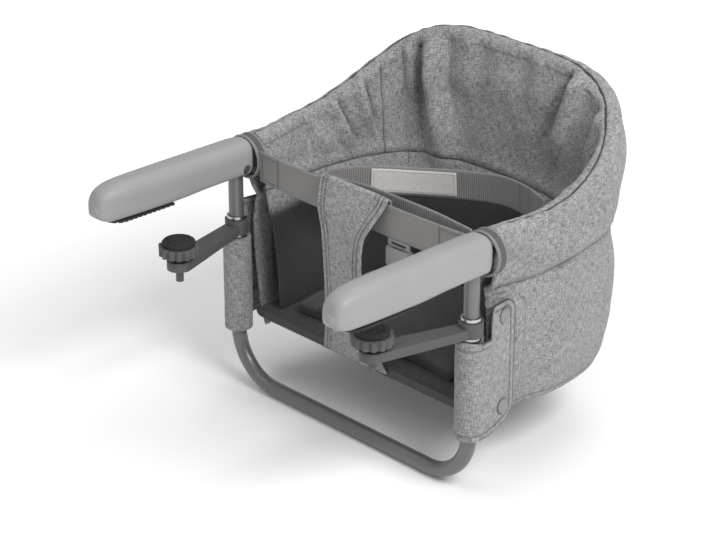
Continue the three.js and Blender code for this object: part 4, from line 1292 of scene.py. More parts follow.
    def lining(self) -> tuple[Piece, Piece]:
        """The gathered inner wall, with its panel seams and the seam above the belt.

        Folds, gathers under the roll, soft random waves and grooves along the seams move it. It thickens
        from the roll down, and its lower part, from 17 mm below the band's seam, is painted dark as
        shade where it goes down behind the cushion.

        Returns:
            The part below the band's seam, and the part above it.
        """
        roll, upper, lower, cols = 26, 66, 36, 401
        s = self.plan.stations(np.linspace(0.002, 0.998, cols))
        profile = self.lining_profile(s, roll, upper, lower)
        offset, z = profile[..., 0], profile[..., 1]
        rows = len(z)
        run = travelled(profile, 0)
        grain = grid_of(s.across, run[-1:] - run)
        above, drop = z - self.belt_seam_height(s.share), s.height[None] - z
        wide, fine = ripple(rows, cols, (6, 24), 22), ripple(rows, cols, (20, 80), 23)
        panels = ((0.246, 1.4, above > 0), (0.7545, 1.4, above > 0),
                  (0.30, 1.1, above < 0), (0.70, 1.1, above < 0))
        seams = sum(bell((s.share - place) * s.length, width) * part for place, width, part in panels)
        seams = seams * smooth((drop + 9) / 8)
        soft = (2.0 * wide + 0.5 * fine) * smooth((z - SEAT_FLOOR - 10) / 20)
        lift = (sum(fold.lift(s, z) for fold in self.folds) + soft) * smooth((drop + 16) / 22)
        gather = np.sin(s.across / 2.9 + 3.2 * ripple(1, cols, (1, 60), 21)) * bell(drop + 8, 9.0)
        lift = lift + 0.4 * gather - 1.9 * seams - 1.5 * bell(above, 1.3) + 1.5 * bell(above - 6, 5.0)
        row = np.arange(rows)[:, None]
        paint = np.clip(1.2 * seams + 0.5 * bell(above, 1.3) + 0.15 * bell(above, 4.0), 0, 0.95)
        # Painted shade: the lining is painted dark from 17 mm below the band's seam down, where shade
        # falls behind the cushion.
        under = smooth((-17 - above) / 14.0)
        paint = np.clip(paint + 0.9 * (row < 3) + 0.5 * (row == 3) + 0.95 * under, 0, 0.95)
        thick = mix(self.cloth, 5.4, smooth(drop / 20))
        middle = offset - lift + thick / 2 * (row >= roll)
        split = roll - 1 + upper
        parts = []
        for name, keep, tuck in (("seat_lower_lining", slice(split - 2, rows), 2.4 * (row <= split)),
                                 ("seat_upper_lining", slice(0, split + 1), 0.0)):
            skin = Skin()
            skin.add_sheet(s.at(middle + tuck, z)[keep], thick[keep], paint[keep], cloth=grain[keep])
            parts.append(skin.build(name, Finish.LINING))
        return parts[0], parts[1]

    def slab(self, levels: Sequence[tuple[float, float]], front: float, count: int,
             full: bool) -> Points:
        """Rings with the seat's plan.

        Args:
            levels: inset and height of each ring.
            front: where the straight front edge lies.
            count: stations round the curve.
            full: whether the back stands out as the wall does.

        Returns:
            The rings, each closed along the front by a straight row of points.
        """
        s = self.plan.stations(np.linspace(0, 1, count), front)
        out = self.plan.fullness(s) if full else np.zeros(count)
        rings = []
        for inset, z in levels:
            curve = s.at(out - inset, np.full(count, z))
            straight = mix(curve[-1], curve[0], np.linspace(0, 1, count // 3)[1:-1, None])
            rings.append(np.concatenate([curve, straight]))
        return np.array(rings)

    def base(self) -> Piece:
        """The stiff board in its cloth cover, with a rounded edge and a stitched fold underneath.

        Its section is a quarter circle above and a quarter ellipse below, and small random waves move
        the lower rings.

        Returns:
            The piece.
        """
        inset, edge, bead, deep = 15.2, 8.0, 2.4, 6.6
        front, count = 12.0, 181
        top = SEAT_FLOOR + bead + deep
        turn = np.linspace(0, np.pi / 2, 7)
        levels = [(inset + bead * (1 - math.sin(a)), top - bead * (1 - math.cos(a))) for a in turn]
        levels += [(inset + edge * (1 - math.cos(a)), top - bead - deep * math.sin(a)) for a in turn[1:]]
        rings = self.slab(levels, front, count, True)
        row = np.arange(len(levels))[:, None]
        rings[..., 2] += 0.35 * ripple(*rings.shape[:2], (2, 30), 31) * (row > 6)
        skin = Skin()
        skin.add_loft(rings, 0.15 * (row == len(levels) - 1))
        stitch = self.slab([(inset + edge + 7, SEAT_FLOOR - 0.05)], front, count, True)[0]
        add_stitches(skin, stitch, np.tile([0.0, 0.0, -1.0], (len(stitch), 1)), 1, 4.2)
        return skin.build("seat_base_cover", Finish.SEAT, Finish.THREAD)

    def pad(self) -> Piece:
        """The cushion: remeshed, swollen by a cloth simulation and laid flat on the board.

        The pressure's movement is capped at 5 mm, and the cushion is kept above the board and below the
        belt. Its seam is a bell of the height.

        Returns:
            The piece.
        """
        low, tall, voxel, most = SEAT_FLOOR + 9.4, 19.0, 5 * MM, 5 * MM
        section = ((57, 0.6), (52, 4), (51.5, 8), (56, 12.4), (66, 14.6), (84, 16))
        levels = [(inset, low + up) for inset, up in section]
        skin = Skin()
        skin.add_loft(self.slab(levels, 30.0, 121, False))
        piece = skin.build("seat_cushion", Finish.SEAT)
        remesh = piece.modifiers.new("even", "REMESH")
        remesh.mode, remesh.voxel_size = "VOXEL", voxel
        settle(piece)
        place = rest = coordinates(piece.data)
        self.swell(piece)
        moved = coordinates(piece.data) - rest
        far = np.linalg.norm(moved, axis=1, keepdims=True)
        place = rest + moved * np.minimum(1, most / np.maximum(far, 1e-9))
        place[:, 2] = np.clip(place[:, 2], low * MM, (low + tall) * MM)
        mesh = piece.data
        mesh.vertices.foreach_set("co", single(place))
        loops = np.zeros(len(mesh.loops), np.int32)
        mesh.loops.foreach_get("vertex_index", loops)
        layer = mesh.uv_layers.get(CLOTH_MAP) or mesh.uv_layers.new(name=CLOTH_MAP)
        layer.uv.foreach_set("vector", single(place[loops][:, :2]))
        paint_seams_and_shade(mesh, 0.6 * bell(place[:, 2] / MM - low - 8.5, 1.6))
        mesh.polygons.foreach_set("use_smooth", np.ones(len(mesh.polygons), bool))
        if not mesh.materials:
            mesh.materials.append(Finish.SEAT.material)
        finer = piece.modifiers.new("finer", "SUBSURF")
        finer.levels = finer.render_levels = 1
        return piece

    @staticmethod
    def swell(piece: Piece) -> None:
        """Blows a piece up by a short cloth simulation with pressure and no gravity.

        Args:
            piece: the closed piece, whose mesh the result replaces.
        """
        frames = 20
        cloth = piece.modifiers.new("swell", "CLOTH")
        cloth.settings.use_pressure = True
        cloth.settings.uniform_pressure_force = 3.0
        cloth.settings.effector_weights.gravity = 0.0
        cloth.settings.tension_stiffness = cloth.settings.compression_stiffness = 8.0
        cloth.point_cache.frame_start, cloth.point_cache.frame_end = 1, frames
        for step in range(1, frames + 1):
            bpy.context.scene.frame_set(step)
        settle(piece)
        bpy.context.scene.frame_set(1)

    def assemble(self) -> None:
        """Builds the pieces, which ride on the seat. What hangs below the waist's seam gets a mesh of
        its own.
        """
        pouch, band = self.shell()
        lower, upper = self.lining()
        for piece, node, fill in ((pouch, "seat_shell", 0.4), (lower, "seat_lining", 0.5),
                                  (self.base(), "seat_base", 0.8), (self.pad(), "seat_pad", 0.7)):
            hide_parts(node)
            crumple(piece)
        for piece, node in ((band, "seat_shell"), (upper, "seat_lining")):
            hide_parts(node)
            ride_on(piece, SEAT)


def coordinates(mesh: bpy.types.Mesh) -> Points:
    """A mesh's points in metres, (number, 3)."""
    place = np.zeros(len(mesh.vertices) * 3, np.float32)
    mesh.vertices.foreach_get("co", place)
    return place.reshape(-1, 3).astype(float)


def ride_on(piece: Piece, body: str) -> None:
    """Lets a piece ride on a body of the frame, and reports it."""
    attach(piece, body)
    LOG.info("%s: on %s, %d faces", piece.name, body, len(piece.data.polygons))


def crumple(piece: Piece) -> None:
    """Lets a soft piece ride on the seat, with a mesh of its own."""
    ride_on(piece, SEAT)
    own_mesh(piece)


# ---------------- sleeves and snaps


@dataclass
class SideSleeve:
    """The padded sleeve round an upright, whose flap buttons to the seat's side with two snaps.

    Attributes:
        reach, flap_top: how far back the flap reaches, and height of its upper edge.
        wall_x: x of the flap's outer face beside the seat's wall.
        notch: the way back at which the upper edge steps up to the flap's.
        rise: how much higher the flap's lower edge is at the back.
        margin: distance of the stitching from the flap's free edge.
    """

    side: Side
    radius: float = 15.0
    top: float = -69.0
    low: float = -174.0
    reach: float = 51.5
    flap_top: float = -35.0
    wall_x: float = 181.6
    corner: float = 15.0
    notch: float = 15.0
    rise: float = 14.0
    margin: float = 6.0
    snap_y: float = 34.0
    snap_heights: tuple[float, float] = (-50.0, -149.0)

    def face_x(self, y: Points) -> Points:
        """X of the flap's outer face: from beside the channel to just off the wall, in a smooth step."""
        return mix(ARM_X + self.radius, self.wall_x, smooth(y / 56.0))

    def lower_edge(self, y: Points) -> Points:
        """Height of the flap's lower edge, which rises with the square of the way back."""
        return self.low + self.rise * (np.clip(y, 0, 60) / 56.0) ** 2

    def edges(self, y: Points) -> tuple[Points, Points]:
        """Both edges of the flap, with a quarter circle at each rear corner.

        Args:
            y: how far back each point is.

        Returns:
            Height of the lower edge and of the upper edge there.
        """
        turn = np.clip((y - (self.reach - self.corner)) / self.corner, 0, 1)
        round_off = self.corner * (1 - np.sqrt(1 - turn**2 * 0.998))
        high = mix(self.top, self.flap_top, smooth((y - self.notch) / 3.0))
        return self.lower_edge(y) + round_off, high - round_off

    def from_edge(self, y: Points, z: Points, low: Points, high: Points,
                  on_flap: Points) -> tuple[Points, Points]:
        """Distance from the free edges, with an arc round the middle of each rear corner.

        Args:
            y: how far back each column is.
            z: height of each point.
            low, high: the edges of each column.
            on_flap: which columns are on the flap.

        Returns:
            Distance from the nearest edge, and from the rear edge.
        """
        far = 99.0
        rear = np.where(on_flap, self.reach - y, far)[None]
        turn_y = y - (self.reach - self.corner)
        turn_z = np.abs(z - (low.min() + high.max()) / 2) - (high.max() - low.min()) / 2 + self.corner
        rounded = self.corner - np.hypot(np.maximum(turn_y, 0), np.maximum(turn_z, 0))
        near = np.minimum(np.minimum(z - low, high - z), rear)
        return np.minimum(near, np.where(on_flap & (turn_y > 0), rounded, far)), rear

    def sheet(self) -> Skin:
        """One sheet from the flap's rear edge, forward, round the upright and back on its inner side.

        The plan is the flap's face and then an arc of 285 degrees. A groove runs 6 mm inside the edge
        with a ridge outside it, the cloth swells between them in random waves, and each snap presses a
        dish into it. A painted shadow rings each snap, and the flap's free edges are painted dark as
        shade.

        Returns:
            The sheet.
        """
        thin, thick, rows, groove_in = 2.4, 5.2, 92, self.margin
        y = np.linspace(self.reach, 0, 64)
        angle = np.radians(np.linspace(0, -285, 96)[1:])
        depth = mix(thin, thick, smooth(np.linspace(0, 1, len(angle)) * 5))
        middle = self.radius - depth / 2
        arc = grid_of(ARM_X + middle * np.cos(angle), middle * np.sin(angle))
        plan = np.concatenate([grid_of(self.face_x(y) - thin / 2, y), arc])
        depth = np.concatenate([np.full(len(y), thin), depth])
        behind = np.concatenate([y, np.zeros(len(angle))])
        low, high = self.edges(behind)
        z = mix(low, high, np.linspace(0, 1, rows)[:, None])
        grid = grid_of(plan[:, 0], plan[:, 1], z)
        on_flap = np.arange(len(plan)) < len(y)
        near, rear = self.from_edge(behind, z, low, high, on_flap)
        groove = bell(near - groove_in, 1.1)
        waves = ripple(rows, len(plan), (7, 9), 41 if self.side is Side.LEFT else 42)
        lift = 0.7 * waves * smooth(near / 14) - 0.55 * groove
        lift = lift + 0.5 * smooth(near / 12) + 0.45 * bell(near - 3, 2.2)
        snap_ring_shadow = 0.0
        for height in self.snap_heights:
            away = np.hypot(behind - self.snap_y, z - height)
            lift = lift - 1.0 * bell(away, 9.0) * on_flap
            # Painted shadow: a dark ring just outside the snap's rim.
            snap_ring_shadow = snap_ring_shadow + bell(away - 8.0, 0.9) * on_flap
        normal = grid_normals(grid)
        outward = np.sign(normal[rows // 2, len(y) // 2, 0])
        grid = grid + normal * outward * (lift * np.where(on_flap, 1.0, 0.5))[..., None]
        # Painted shadow: the flap's free edges are painted dark, where shade falls under them.
        worn = 0.9 * smooth(1.5 - near) * (rear < 60)
        paint = np.clip(0.55 * groove + 0.6 * snap_ring_shadow + worn, 0, 0.9)
        way = int(outward)
        depth = np.broadcast_to(depth[::way], z.shape)
        skin = Skin()
        skin.add_sheet(self.side.mirrored(grid[:, ::way]), depth, paint[:, ::way])
        return skin

    def seam_route(self) -> tuple[Points, Points]:
        """The stitching's route inside the flap's free edge: straight runs and quarter circles.

        Returns:
            The route, and the cloth's outward direction at each of its points.
        """
        reach, turn = self.reach - self.margin, self.corner - self.margin
        high, low = self.flap_top - self.margin, self.low + self.margin
        bend_y, upper, lower = reach - turn, high - turn, low + 9.0 + turn
        arc = np.linspace(0, np.pi / 2, 14)
        end = np.linspace(bend_y, 0, 24)
        runs = (
            grid_of(np.linspace(self.notch + 3, bend_y, 16), high),
            grid_of(bend_y + turn * np.sin(arc), upper + turn * np.cos(arc)),
            grid_of(reach, np.linspace(upper, lower, 40)),
            grid_of(bend_y + turn * np.cos(arc), lower - turn * np.sin(arc)),
            grid_of(end, self.lower_edge(end) + self.margin),
        )
        y, z = evenly(np.concatenate(runs), 220).T
        face = grid_of(self.face_x(y) - 0.1, y, z)
        return self.side.mirrored(face), np.tile([float(self.side.value), 0.1, 0.0], (len(face), 1))

    def snap(self, word: str, height: float) -> Piece:
        """A snap cap: a shallow dome with a rolled rim, turned round the flap's normal.

        Args:
            word: its word in names.
            height: its height.

        Returns:
            The piece.
        """
        half = 7.5
        lean = (self.face_x(self.snap_y - half) - self.face_x(self.snap_y + half)) / (2 * half)
        centre = np.array([self.face_x(self.snap_y) + 0.2, self.snap_y, height])
        profile = np.array([[1.5, -0.2], [6.6, -0.2], [7.3, 0.1], [half, 0.7], [7.3, 1.4], [6.8, 1.85],
                            [6.1, 2.0], [5.5, 1.85], [4.9, 1.8], [3.5, 2.15], [1.8, 2.4], [0.6, 2.45]])
        axis = np.array([1.0, lean, 0.0])
        skin = Skin()
        lathe(skin, profile, self.side.mirrored(centre), self.side.mirrored(axis), 48)
        piece = skin.build(f"{self.side.word}_{word}_snap_cap", Finish.SNAP)
        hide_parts(f"{self.side.word}_{word}_snap")
        return piece

    def assemble(self) -> None:
        """Builds the sleeve and its snaps."""
        skin = self.sheet()
        add_stitches(skin, *self.seam_route(), 1)
        piece = skin.build(f"{self.side.word}_sleeve_cloth", Finish.CLOTH, Finish.THREAD)
        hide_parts(f"{self.side.word}_sleeve")
        crumple(piece)
        for word, height in zip(("upper", "lower"), self.snap_heights):
            crumple(self.snap(word, height))


# ---------------- webbing


@dataclass
class Straps:
    """The front strap with its loops, the waist belt with its blank patch, and the crotch piece.

    Attributes:
        thick: thickness of the front strap and of the belt.
        box: x of both ends of the stitched box near each end of the strap.
        belt_route: the belt's upper edge from the left arm round the child to the strap.
        patch: where the blank patch begins and ends, as shares of the belt's length.
        crotch_route: y, z and half width of the crotch piece, from the board up to the strap.
        crotch_seams: distance of its two seams from its edges.
    """

    width: float = 33.0
    thick: float = 2.2
    half_span: float = 148.1
    box: tuple[float, float] = (117.0, 143.0)
    belt_width: float = 32.0
    belt_route: tuple[tuple[float, float, float], ...] = (
        (147.8, 23, 33), (100, 23, 36), (50, 23, 36), (0, 24, 34), (-45, 27, 28), (-78, 42, 20),
        (-92, 75, 12), (-82, 118, 5), (-54, 150, 2), (-5, 168, 8), (51, 170, 18), (105, 150, 28),
        (142, 124, 38), (158.2, 115.4, 41),
    )
    patch: tuple[float, float] = (0.52, 0.688)
    crotch_route: tuple[tuple[float, float, float], ...] = (
        (9.4, -156, 46), (0, -120, 34), (-6, -80, 28), (-9, -40, 27), (-9, -10, 30), (-6, 8, 38),
        (1, 22, 44),
    )
    crotch_seams: tuple[float, float] = (5.0, 10.0)

    def strap_y(self, x: Points) -> Points:
        """How far back the strap is: it bows forward by 4 mm with the fourth power of the way out."""
        return 14.0 - 4.0 * (1 - (x / self.half_span) ** 4)

    def front_strap(self) -> Piece:
        """Webbing on edge between the arms, with a box of stitches at each end.

        Returns:
            The piece.
        """
        cols, rows = 190, 14
        low = HOOP_Z - self.width
        x = self.half_span * np.linspace(-1, 1, cols)
        z = np.linspace(low, HOOP_Z, rows)[:, None]
        lines = sum(bell(np.abs(x) - place, 0.8) for place in self.box)
        grid = grid_of(x, self.strap_y(x) + 0.25 * ripple(rows, cols, (1, 7), 51) + 0.25 * lines, z)
        paint = np.clip(0.5 * lines + 0.3 * bell(np.minimum(z - low, HOOP_Z - z) - 1.6, 0.6), 0, 0.8)
        skin = Skin()
        skin.add_sheet(grid, self.thick, paint)
        (near, far), below, above = self.box, 3.0, self.width - 3.0
        box = np.array([(near, below), (far, below), (far, above), (near, above), (near, below)])
        for sign in (1, -1):
            for face in (-1.0, 1.0):
                route = evenly(grid_of(sign * box[:, 0], 0.0, low + box[:, 1]), 160)
                route[:, 1] = self.strap_y(route[:, 0]) + face * 1.25
                add_stitches(skin, route, np.tile([0.0, face, 0.0], (len(route), 1)), 1, 2.6, 0.72, 0.4)
        piece = skin.build("front_strap_webbing", Finish.STRAP, Finish.THREAD)
        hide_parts("front_strap")
        return piece

    def loop(self, side: Side) -> Piece:
        """The strap's end round the arm's rear collar: a band whose two selvedges stand up as ridges.

        Its section is carried round a circle, whose radius wavers a little, and the band's middle
        between its ridges is painted dark as shade.

        Args:
            side: the side of the chair.

        Returns:
            The piece.
        """
        radius, middle_y, middle_z, half, count = 21.0, 18.0, 18.6, 6.5, 13
        turn = (TURN * np.arange(96) / 96)[:, None]
        share = np.linspace(-1, 1, count)
        section = np.concatenate([grid_of(half * share, 2.3 + 0.75 * bell(np.abs(share) - 0.78, 0.2)),
                                  grid_of(half * share[::-1], 0.05)])
        section[[0, count - 1], 1] -= 0.9
        section[[count, -1], 1] += 0.4
        reach = (radius + section[:, 1]) * (1 + 0.012 * np.sin(2 * turn + 0.6))
        x, z = ARM_X + reach * np.cos(turn), middle_z + reach * np.sin(turn)
        rings = grid_of(x, middle_y + section[:, 0], z)
        skin = Skin()
        # Painted shade: the middle 8 mm of the band, between its raised selvedges, is painted dark.
        skin.add_loft(side.mirrored(rings), 0.75 * (np.abs(section[:, 0]) < 4.0), caps=False)
        piece = skin.build(f"{side.word}_strap_loop_webbing", Finish.STRAP)
        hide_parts(f"{side.word}_strap_loop")
        return piece

    def waist_belt(self) -> Piece:
        """Ribbed webbing on edge along its route, with a blank patch on the side towards the child.

        The route is a Catmull-Rom curve. Across, the webbing leans by half a cosine of its width, most
        in the middle of its length.

        Returns:
            The piece.
        """
        route = evenly(spline(np.array(self.belt_route, float), 900), 421)
        along = unit(np.gradient(route[:, :2], axis=0))
        side = grid_of(along[:, 1], -along[:, 0], 0.0)
        down = np.linspace(self.belt_width, 0, 14)[:, None]
        lean = 1.2 * np.sin(np.linspace(0, np.pi, len(route))) * np.cos(down * np.pi / self.belt_width)
        grid = route - down[..., None] * np.array([0, 0, 1.0]) + side * lean[..., None]
        run = travelled(route, 0)
        edge = np.minimum(down, self.belt_width - down)
        folds = sum(bell(run - run[-1] * place, 1.2) for place in (0.02, 0.86, 0.905))
        paint = np.clip(0.45 * bell(edge - 1.5, 0.5) + 0.5 * folds, 0, 0.7)
        skin = Skin()
        skin.add_sheet(grid, self.thick, paint, cloth=grid_of(run, down))
        normals = grid_normals(grid)
        to_child = np.array([30, 100]) - grid[..., :2]
        facing = np.sign((normals[..., :2] * to_child).sum(axis=-1, keepdims=True))
        spot = (run > run[-1] * self.patch[0]) & (run < run[-1] * self.patch[1])
        up = (normals * facing)[1:-1, spot]
        patch = grid[1:-1, spot] + up * 1.75
        skin.add_sheet(patch, 0.7, slot=1)
        border = ((1, slice(2, -2)), (slice(1, -1), -3), (-2, slice(-3, 1, -1)), (slice(-2, 0, -1), 2),
                  ([1], [2]))
        front, stand = (np.concatenate([part[key].reshape(-1, 3) for key in border])
                        for part in (patch + up * 0.35, up))
        add_stitches(skin, front, stand, 2, 2.4, 0.7, 0.3)
        piece = skin.build("waist_belt_webbing", Finish.BELT, Finish.PATCH, Finish.THREAD)
        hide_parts("waist_belt")
        return piece

    def crotch(self) -> Piece:
        """A padded band up between the legs and over the strap, with two rows of stitches at each edge.

        Its middle is a curve through its route. Across, the half width comes from the same curve, the
        thickness falls towards the edges with the fourth power, and two grooves follow each edge.

        Returns:
            The piece.
        """
        over, bend_y, hug = HOOP_Z + 4.6, 10.0, 3.9
        low = HOOP_Z - self.width
        hood = [
            (bend_y - hug, HOOP_Z, 47), (bend_y - hug * 0.55, over - 0.5, 47), (bend_y, over + 0.4, 47),
            (bend_y + hug * 0.55, over - 0.5, 47), (bend_y + hug, HOOP_Z, 47),
            (bend_y + hug, mix(low, HOOP_Z, 0.4), 43), (bend_y + hug, low, 35),
        ]
        dense = evenly(spline(np.array([*self.crotch_route, *hood], float), 1200), 301)
        rows, cols = len(dense), 57
        y, z, half = (dense[:, k:k + 1] for k in range(3))
        run = travelled(dense[:, :2], 0)[:, None]
        share = np.linspace(-1, 1, cols)
        step = unit(np.gradient(dense[:, :2], axis=0))
        normal = grid_of(0.0, -step[:, 1], step[:, 0])
        edge = half * (1 - np.abs(share))
        grooves = sum(bell(edge - place, 0.9) for place in self.crotch_seams)
        quilt = 0.5 * np.sin(run / 6.5) * smooth((edge - 12) / 10) * smooth((90 - run) / 60)
        lift = 0.5 * ripple(rows, cols, (10, 4), 61) * smooth(edge / 14) - 0.45 * grooves + quilt
        bending = np.abs(np.gradient(np.arctan2(step[:, 1], step[:, 0])))[:, None]
        calm = 1 - 0.7 * smooth(bending * 12)
        grid = grid_of(half * share, y, z) + normal[:, None] * (lift * calm)[..., None]
        paint = np.clip(0.5 * grooves + 0.5 * bell(run[-1] - run - 5.0, 0.9), 0, 0.8)
        skin = Skin()
        skin.add_sheet(grid, np.broadcast_to(4.0 * (1 - 0.45 * share**4), (rows, cols)), paint)
        keep = slice(10, -12)
        for margin in self.crotch_seams:
            for sign in (-1, 1):
                for face in (1, -1):
                    line = grid_of(sign * (half - margin), y, z)[:, 0] + normal * face * 1.55
                    add_stitches(skin, line[keep], normal[keep] * face, 1, 3.2)
        piece = skin.build("crotch_piece_cloth", Finish.CLOTH, Finish.THREAD)
        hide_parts("crotch_piece")
        return piece

    def assemble(self) -> None:
        """Builds the webbing, which rides on the seat; what hangs below the arms gets a mesh of its own.
        """
        ride_on(self.front_strap(), SEAT)
        crumple(self.waist_belt())
        crumple(self.crotch())
        for side in Side:
            crumple(self.loop(side))


# ---------------- frame and hardware


@dataclass
class TubeFrame:
    """The painted tubes: the hoop inside the rim, and the uprights with their crossbar."""

    plan: HoopPlan
    radius: float = 8.0
    reach: float = 150.0
    top: float = 1.5
    floor: float = -230.0
    bend: float = 56.0

    def tube(self, half: Points, middle: Points, sides: int, name: str, node: str, body: str) -> None:
        """Builds one tube that is the same on both sides.

        Args:
            half: its route on the left side, from the end inwards, (number, 3).
            middle: the route between both sides, (number, 3).
            sides: points round it.
            name, node, body: the piece's name, the CAD node that it replaces and its body.
        """
        route = np.concatenate([half, middle, half[::-1] * np.array([-1, 1, 1])])
        skin = Skin()
        skin.add_loft(pipe(route, self.radius, sides))
        piece = skin.build(name, Finish.TUBE)
        crease_by_angle(piece, 50)
        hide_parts(node)
        ride_on(piece, body)

    def assemble(self) -> None:
        """Builds the hoop on its plan, and the lower tube of straight runs and quarter circles."""
        s = self.plan.stations(np.linspace(0, 1, 200))
        lead = grid_of(ARM_X, np.array([-self.reach, -100, -50, 0]), HOOP_Z)
        curve = np.concatenate([s.place, s.height[:, None]], axis=1)
        self.tube(lead, curve, 40, "back_hoop_tube", "back_hoop", SEAT)
        angle = np.linspace(0, np.pi / 2, 26)[1:]
        inner, upper = ARM_X - self.bend, self.floor + self.bend
        half = np.concatenate([
            grid_of(ARM_X, 0.0, np.linspace(self.top, upper, 14)),
            grid_of(inner + self.bend * np.cos(angle), 0.0, upper - self.bend * np.sin(angle)),
        ])
        bar = grid_of(np.array([inner - 30, 40.0, -40.0, 30 - inner]), 0.0, self.floor)
        self.tube(half, bar, 48, "lower_frame_tube", "lower_tube", "lower_frame")


@dataclass
class Arm:
    """A moulded arm cover, which is bored for the hoop and slotted for the upright.

    Attributes:
        under: height of its underside at the nose, and at the rear.
        sections: shares of the length, and there of the width, of the top, and of the underside's rise
            at the nose and at the rear.
    """

    side: Side
    reach: float = 188.0
    rear: float = 10.0
    width: float = 39.0
    height: float = 41.0
    under: tuple[float, float] = (3.0, 5.0)
    sections: tuple[tuple[float, ...], ...] = (
        (0, 0.012, 0.035, 0.075, 0.14, 0.24, 0.38, 0.52, 0.66, 0.8, 0.92, 0.975, 1),
        (0.36, 0.54, 0.67, 0.77, 0.86, 0.93, 0.97, 1, 1, 1, 1, 0.96, 0.84),
        (0.5, 0.7, 0.84, 0.935, 0.985, 1, 1, 1, 1, 1, 1, 0.995, 0.985),
        (0.2, 0.1, 0.04, 0, 0, 0, 0, 0, 0, 0, 0, 0, 0.1),
        (0, 0, 0, 0, 0, 0, 0, 0.1, 0.7, 1, 1, 1, 1),
    )
    hinge_z: float = 12.5

    def body(self) -> Skin:
        """Rings of a superellipse whose size follows the sections, rounder above than below.

        Returns:
            The cover before it is bored. Three shrinking rings round its nose.
        """
        sides, round_above, round_below = 72, 2.7, 6.0
        columns = spline(np.array(self.sections).T, 150).T[..., None]
        lengths, widths, tops, lifts, rises = columns
        y = -self.reach + (self.reach + self.rear) * np.clip(lengths, 0, 1)
        top = self.height * tops
        low = mix(*self.under, rises) + self.height * np.maximum(lifts, 0)
        angle = TURN * (np.arange(sides) + 0.5) / sides
        cos, sin = np.cos(angle), np.sin(angle)
        power = np.where(sin > 0, 2 / round_above, 2 / round_below)
        across, up = (np.sign(part) * np.abs(part) ** power for part in (cos, sin))
        z = (top + low) / 2 + (top - low) / 2 * up
        rings = grid_of(ARM_X + self.width / 2 * widths * across, y, z)
        hub = rings[:1].mean(axis=1, keepdims=True)
        tips = [hub + (rings[:1] - hub) * size - np.array([0, ahead, 0])
                for size, ahead in ((0.35, 1.9), (0.7, 1.3), (0.9, 0.55))]
        skin = Skin()
        skin.add_loft(self.side.mirrored(np.concatenate([*tips, rings])))
        return skin

    def slot(self, half_width: float, y: Sequence[float], z: Sequence[float]) -> Skin:
        """The closed box of a slot on the arm's middle, between two places along Y and two along Z."""
        x = ARM_X + half_width * np.array([-1, 1, 1, -1])
        skin = Skin()
        skin.add_loft(self.side.mirrored(grid_of(x, np.repeat(y, 2), np.array(z)[:, None])))
        return skin

    def bore(self, axis: Sequence[float], radius: float, begin: float, end: float,
             foot: Sequence[float]) -> Skin:
        """The closed cylinder of a bore along X or Y.

        Args:
            axis: its direction.
            radius: its radius.
            begin, end: distances from its foot between which it reaches.
            foot: a place on its axis, on the left side.

        Returns:
            The cutter.
        """
        skin = Skin()
        ends = np.array([[radius, begin], [radius, end]])
        lathe(skin, ends, self.side.mirrored(np.array(foot)), self.side.mirrored(np.array(axis)), 40)
        return skin

    def assemble(self) -> None:
        """Builds the cover and cuts the hoop's bore, the upright's slot, and the pin's bore and head."""
        piece = self.body().build(f"{self.side.word}_arm_shell", Finish.ARM)
        inner, outer = ARM_X - self.width / 2, ARM_X + self.width / 2
        pin = (0.0, 0.0, self.hinge_z)
        for tool in (
            self.bore((0.0, 1.0, 0.0), 8.5, -self.reach + 37.5, self.rear + 6, (ARM_X, 0.0, HOOP_Z)),
            self.slot(8.4, (-8.8, self.rear + 4), (-4.0, 20.9)),
            self.bore((1.0, 0.0, 0.0), 3.3, inner - 4, outer - 3.7, pin),
            self.bore((1.0, 0.0, 0.0), 5.3, inner - 8, inner + 4.3, pin),
        ):
            cut_away(piece, tool)
        crease_by_angle(piece, 38)
        Finish.ARM.slot
        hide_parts(f"{self.side.word}_arm_cover")
        ride_on(piece, SEAT)


@dataclass
class Hardware:
    """Jaw, grip, rings, pad and hinge of one side, as rounded copies of their CAD solids.

    Attributes:
        parts: each one's node and body, without the side's word, its finish and width of its rounding.
    """

    side: Side
    parts: tuple[tuple[str, str, Finish, float], ...] = (
        ("jaw", "{}_jaw_body", Finish.NYLON, 0.8), ("grip_knob", "{}_knob_body", Finish.NYLON, 0.6),
        ("grip_pad", "{}_pad_body", Finish.RUBBER, 0.35), ("arm_pad", SEAT, Finish.RUBBER, 0.25),
        ("upper_collar_ring", "lower_frame", Finish.PIN, 0.4),
        ("lower_collar_ring", "lower_frame", Finish.PIN, 0.4),
        ("hinge_eye", "lower_frame", Finish.NYLON, 0.4), ("hinge_pin", SEAT, Finish.PIN, 0.3),
    )

    def assemble(self) -> None:
        """Rounds and finishes this side's parts."""
        word = self.side.word
        for node, body, finish, width in self.parts:
            ride_on(rounded_copy(f"{word}_{node}", finish, width), body.format(word))


def build_buckle() -> None:
    """Rounds the buckle's two halves."""
    for node, width in (("buckle_plug", 0.5), ("buckle_socket", 0.9)):
        ride_on(rounded_copy(node, Finish.BUCKLE, width), SEAT)


# ---------------- studio


